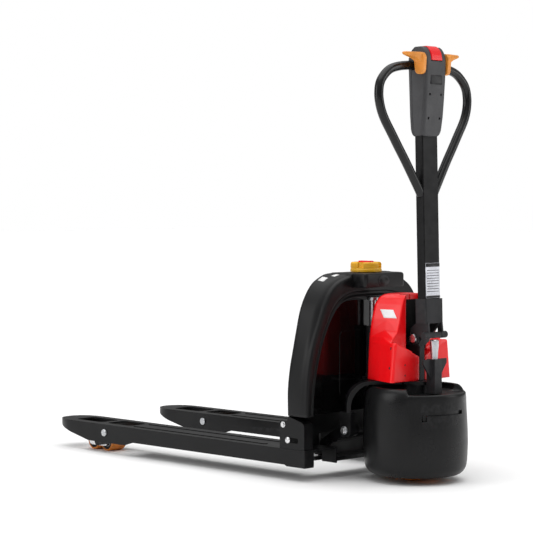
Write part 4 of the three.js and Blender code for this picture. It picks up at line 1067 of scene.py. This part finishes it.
def tiller():
    for side, sign in SIDES:
        loop_handle(side, sign)
    cad("tiller_foot", CAST, 1.6, 3)
    cad("tiller_tube", TUBE, 2.4, 4)
    cad("rating_plate", PLATE, 0.2, 2)
    head()
    piece(belly_button(), "safety_pad", "belly_button")
    left = wing()
    right = mirror_copy(left, "wing_right_shell")
    left.name = "wing_left_shell"
    piece(left, "throttle", "wing_left")
    piece(right, "throttle", "wing_right")
    cad("wing_shaft", STEEL, 0.5, 2)
    for name, m in (("raise_button", ZINC), ("lower_button", ZINC), ("horn_button", RED)):
        cad(name, m, 1.2, 3)
    # plate bars: dark bands and plain rules on the bare plate, no lettering
    x0 = TUBE_X - 16.4
    bars = [("band_top", -30.5, 30.5, 207, 217.4, BOX), ("band_low", -30.5, 30.5, 117.6, 124, BOX)]
    for k in range(9):
        z = 196 - k * 7.6
        bars.append((f"rule_{k}", -26, 26, z, z + 1.7, CAST))
    for name, y0, y1, z0, z1, m in bars:
        piece(prism("plate_" + name, [(y0, z0), (y1, z0), (y1, z1), (y0, z1)], x0 - 0.25, x0 + 0.3, "x", m,
                    frame_of=on_tiller), "tiller")


tiller()


# ---------------------------------------------------------------- floor, camera and lights
def area(name, location, target, size, power, size_y):
    light = bpy.data.lights.new(name, "AREA")
    light.shape = "RECTANGLE"
    light.size = size
    light.size_y = size_y
    light.energy = power
    obj = add(name, light)
    obj.location = location
    obj.rotation_euler = (Vector(target) - Vector(location)).to_track_quat("-Z", "Y").to_euler()
    return obj


def floor_material():
    s = Surface("studio_floor", (0.93, 0.93, 0.93), 0.6, spec=0.2)
    s.mottle(2, 0.01).smudge(0.04, 4)
    return s.done()


SUN_STRENGTH = 1.7                  # even light on the whole floor
SUN_SPREAD = 75                     # degrees across, for a soft shadow


def studio():
    bpy.ops.mesh.primitive_plane_add(size=60)
    floor = bpy.context.object
    floor.name = "studio_floor"
    floor.data.materials.append(floor_material())
    world = bpy.data.worlds.new("studio")
    bpy.context.scene.world = world
    world.use_nodes = True
    nodes, links = world.node_tree.nodes, world.node_tree.links
    nodes.clear()
    out = nodes.new("ShaderNodeOutputWorld")
    mix = nodes.new("ShaderNodeMixShader")
    path = nodes.new("ShaderNodeLightPath")
    seen = nodes.new("ShaderNodeBackground")
    seen.inputs[0].default_value = (1, 1, 1, 1)
    seen.inputs[1].default_value = 1.0
    fill = nodes.new("ShaderNodeBackground")
    coords = nodes.new("ShaderNodeTexCoord")
    split = nodes.new("ShaderNodeSeparateXYZ")
    links.new(coords.outputs["Generated"], split.inputs[0])
    up = nodes.new("ShaderNodeMapRange")
    up.inputs["From Min"].default_value = 0.0
    up.inputs["From Max"].default_value = 0.9
    up.inputs["To Min"].default_value = 0.08
    up.inputs["To Max"].default_value = 1.1
    links.new(split.outputs["Z"], up.inputs["Value"])
    links.new(up.outputs[0], fill.inputs["Strength"])
    links.new(path.outputs["Is Camera Ray"], mix.inputs[0])
    links.new(fill.outputs[0], mix.inputs[1])
    links.new(seen.outputs[0], mix.inputs[2])
    links.new(mix.outputs[0], out.inputs[0])
    sun = bpy.data.lights.new("overhead", "SUN")
    sun.energy = SUN_STRENGTH
    sun.angle = math.radians(SUN_SPREAD)
    add("overhead", sun)
    area("softbox_left", (0.9, 3.4, 1.7), (-0.3, 0, 0.5), 1.8, 34, 2.2)
    area("softbox_right", (-3.2, -2.4, 1.6), (-0.5, 0, 0.6), 1.2, 22, 2.0)
    view = bpy.context.scene.view_settings
    view.view_transform = "Standard"
    view.look = "None"


CAMERA_AT = (-3731.26, 4153.8, 830.6)
LENS = 126.62                       # millimetres, on a 36 mm sensor
HEADING, PITCH = 44.867, 2.187      # degrees right of straight ahead and degrees down


def camera():
    data = bpy.data.cameras.new("camera")
    data.sensor_width = 36
    data.lens = LENS
    data.clip_end = 100
    obj = add("camera", data)
    obj.location = place(*CAMERA_AT)
    heading, pitch = math.radians(HEADING), math.radians(PITCH)
    look = Vector((math.cos(heading) * math.cos(pitch), -math.sin(heading) * math.cos(pitch), -math.sin(pitch)))
    obj.rotation_euler = look.to_track_quat("-Z", "Y").to_euler()
    bpy.context.scene.camera = obj


studio()
camera()
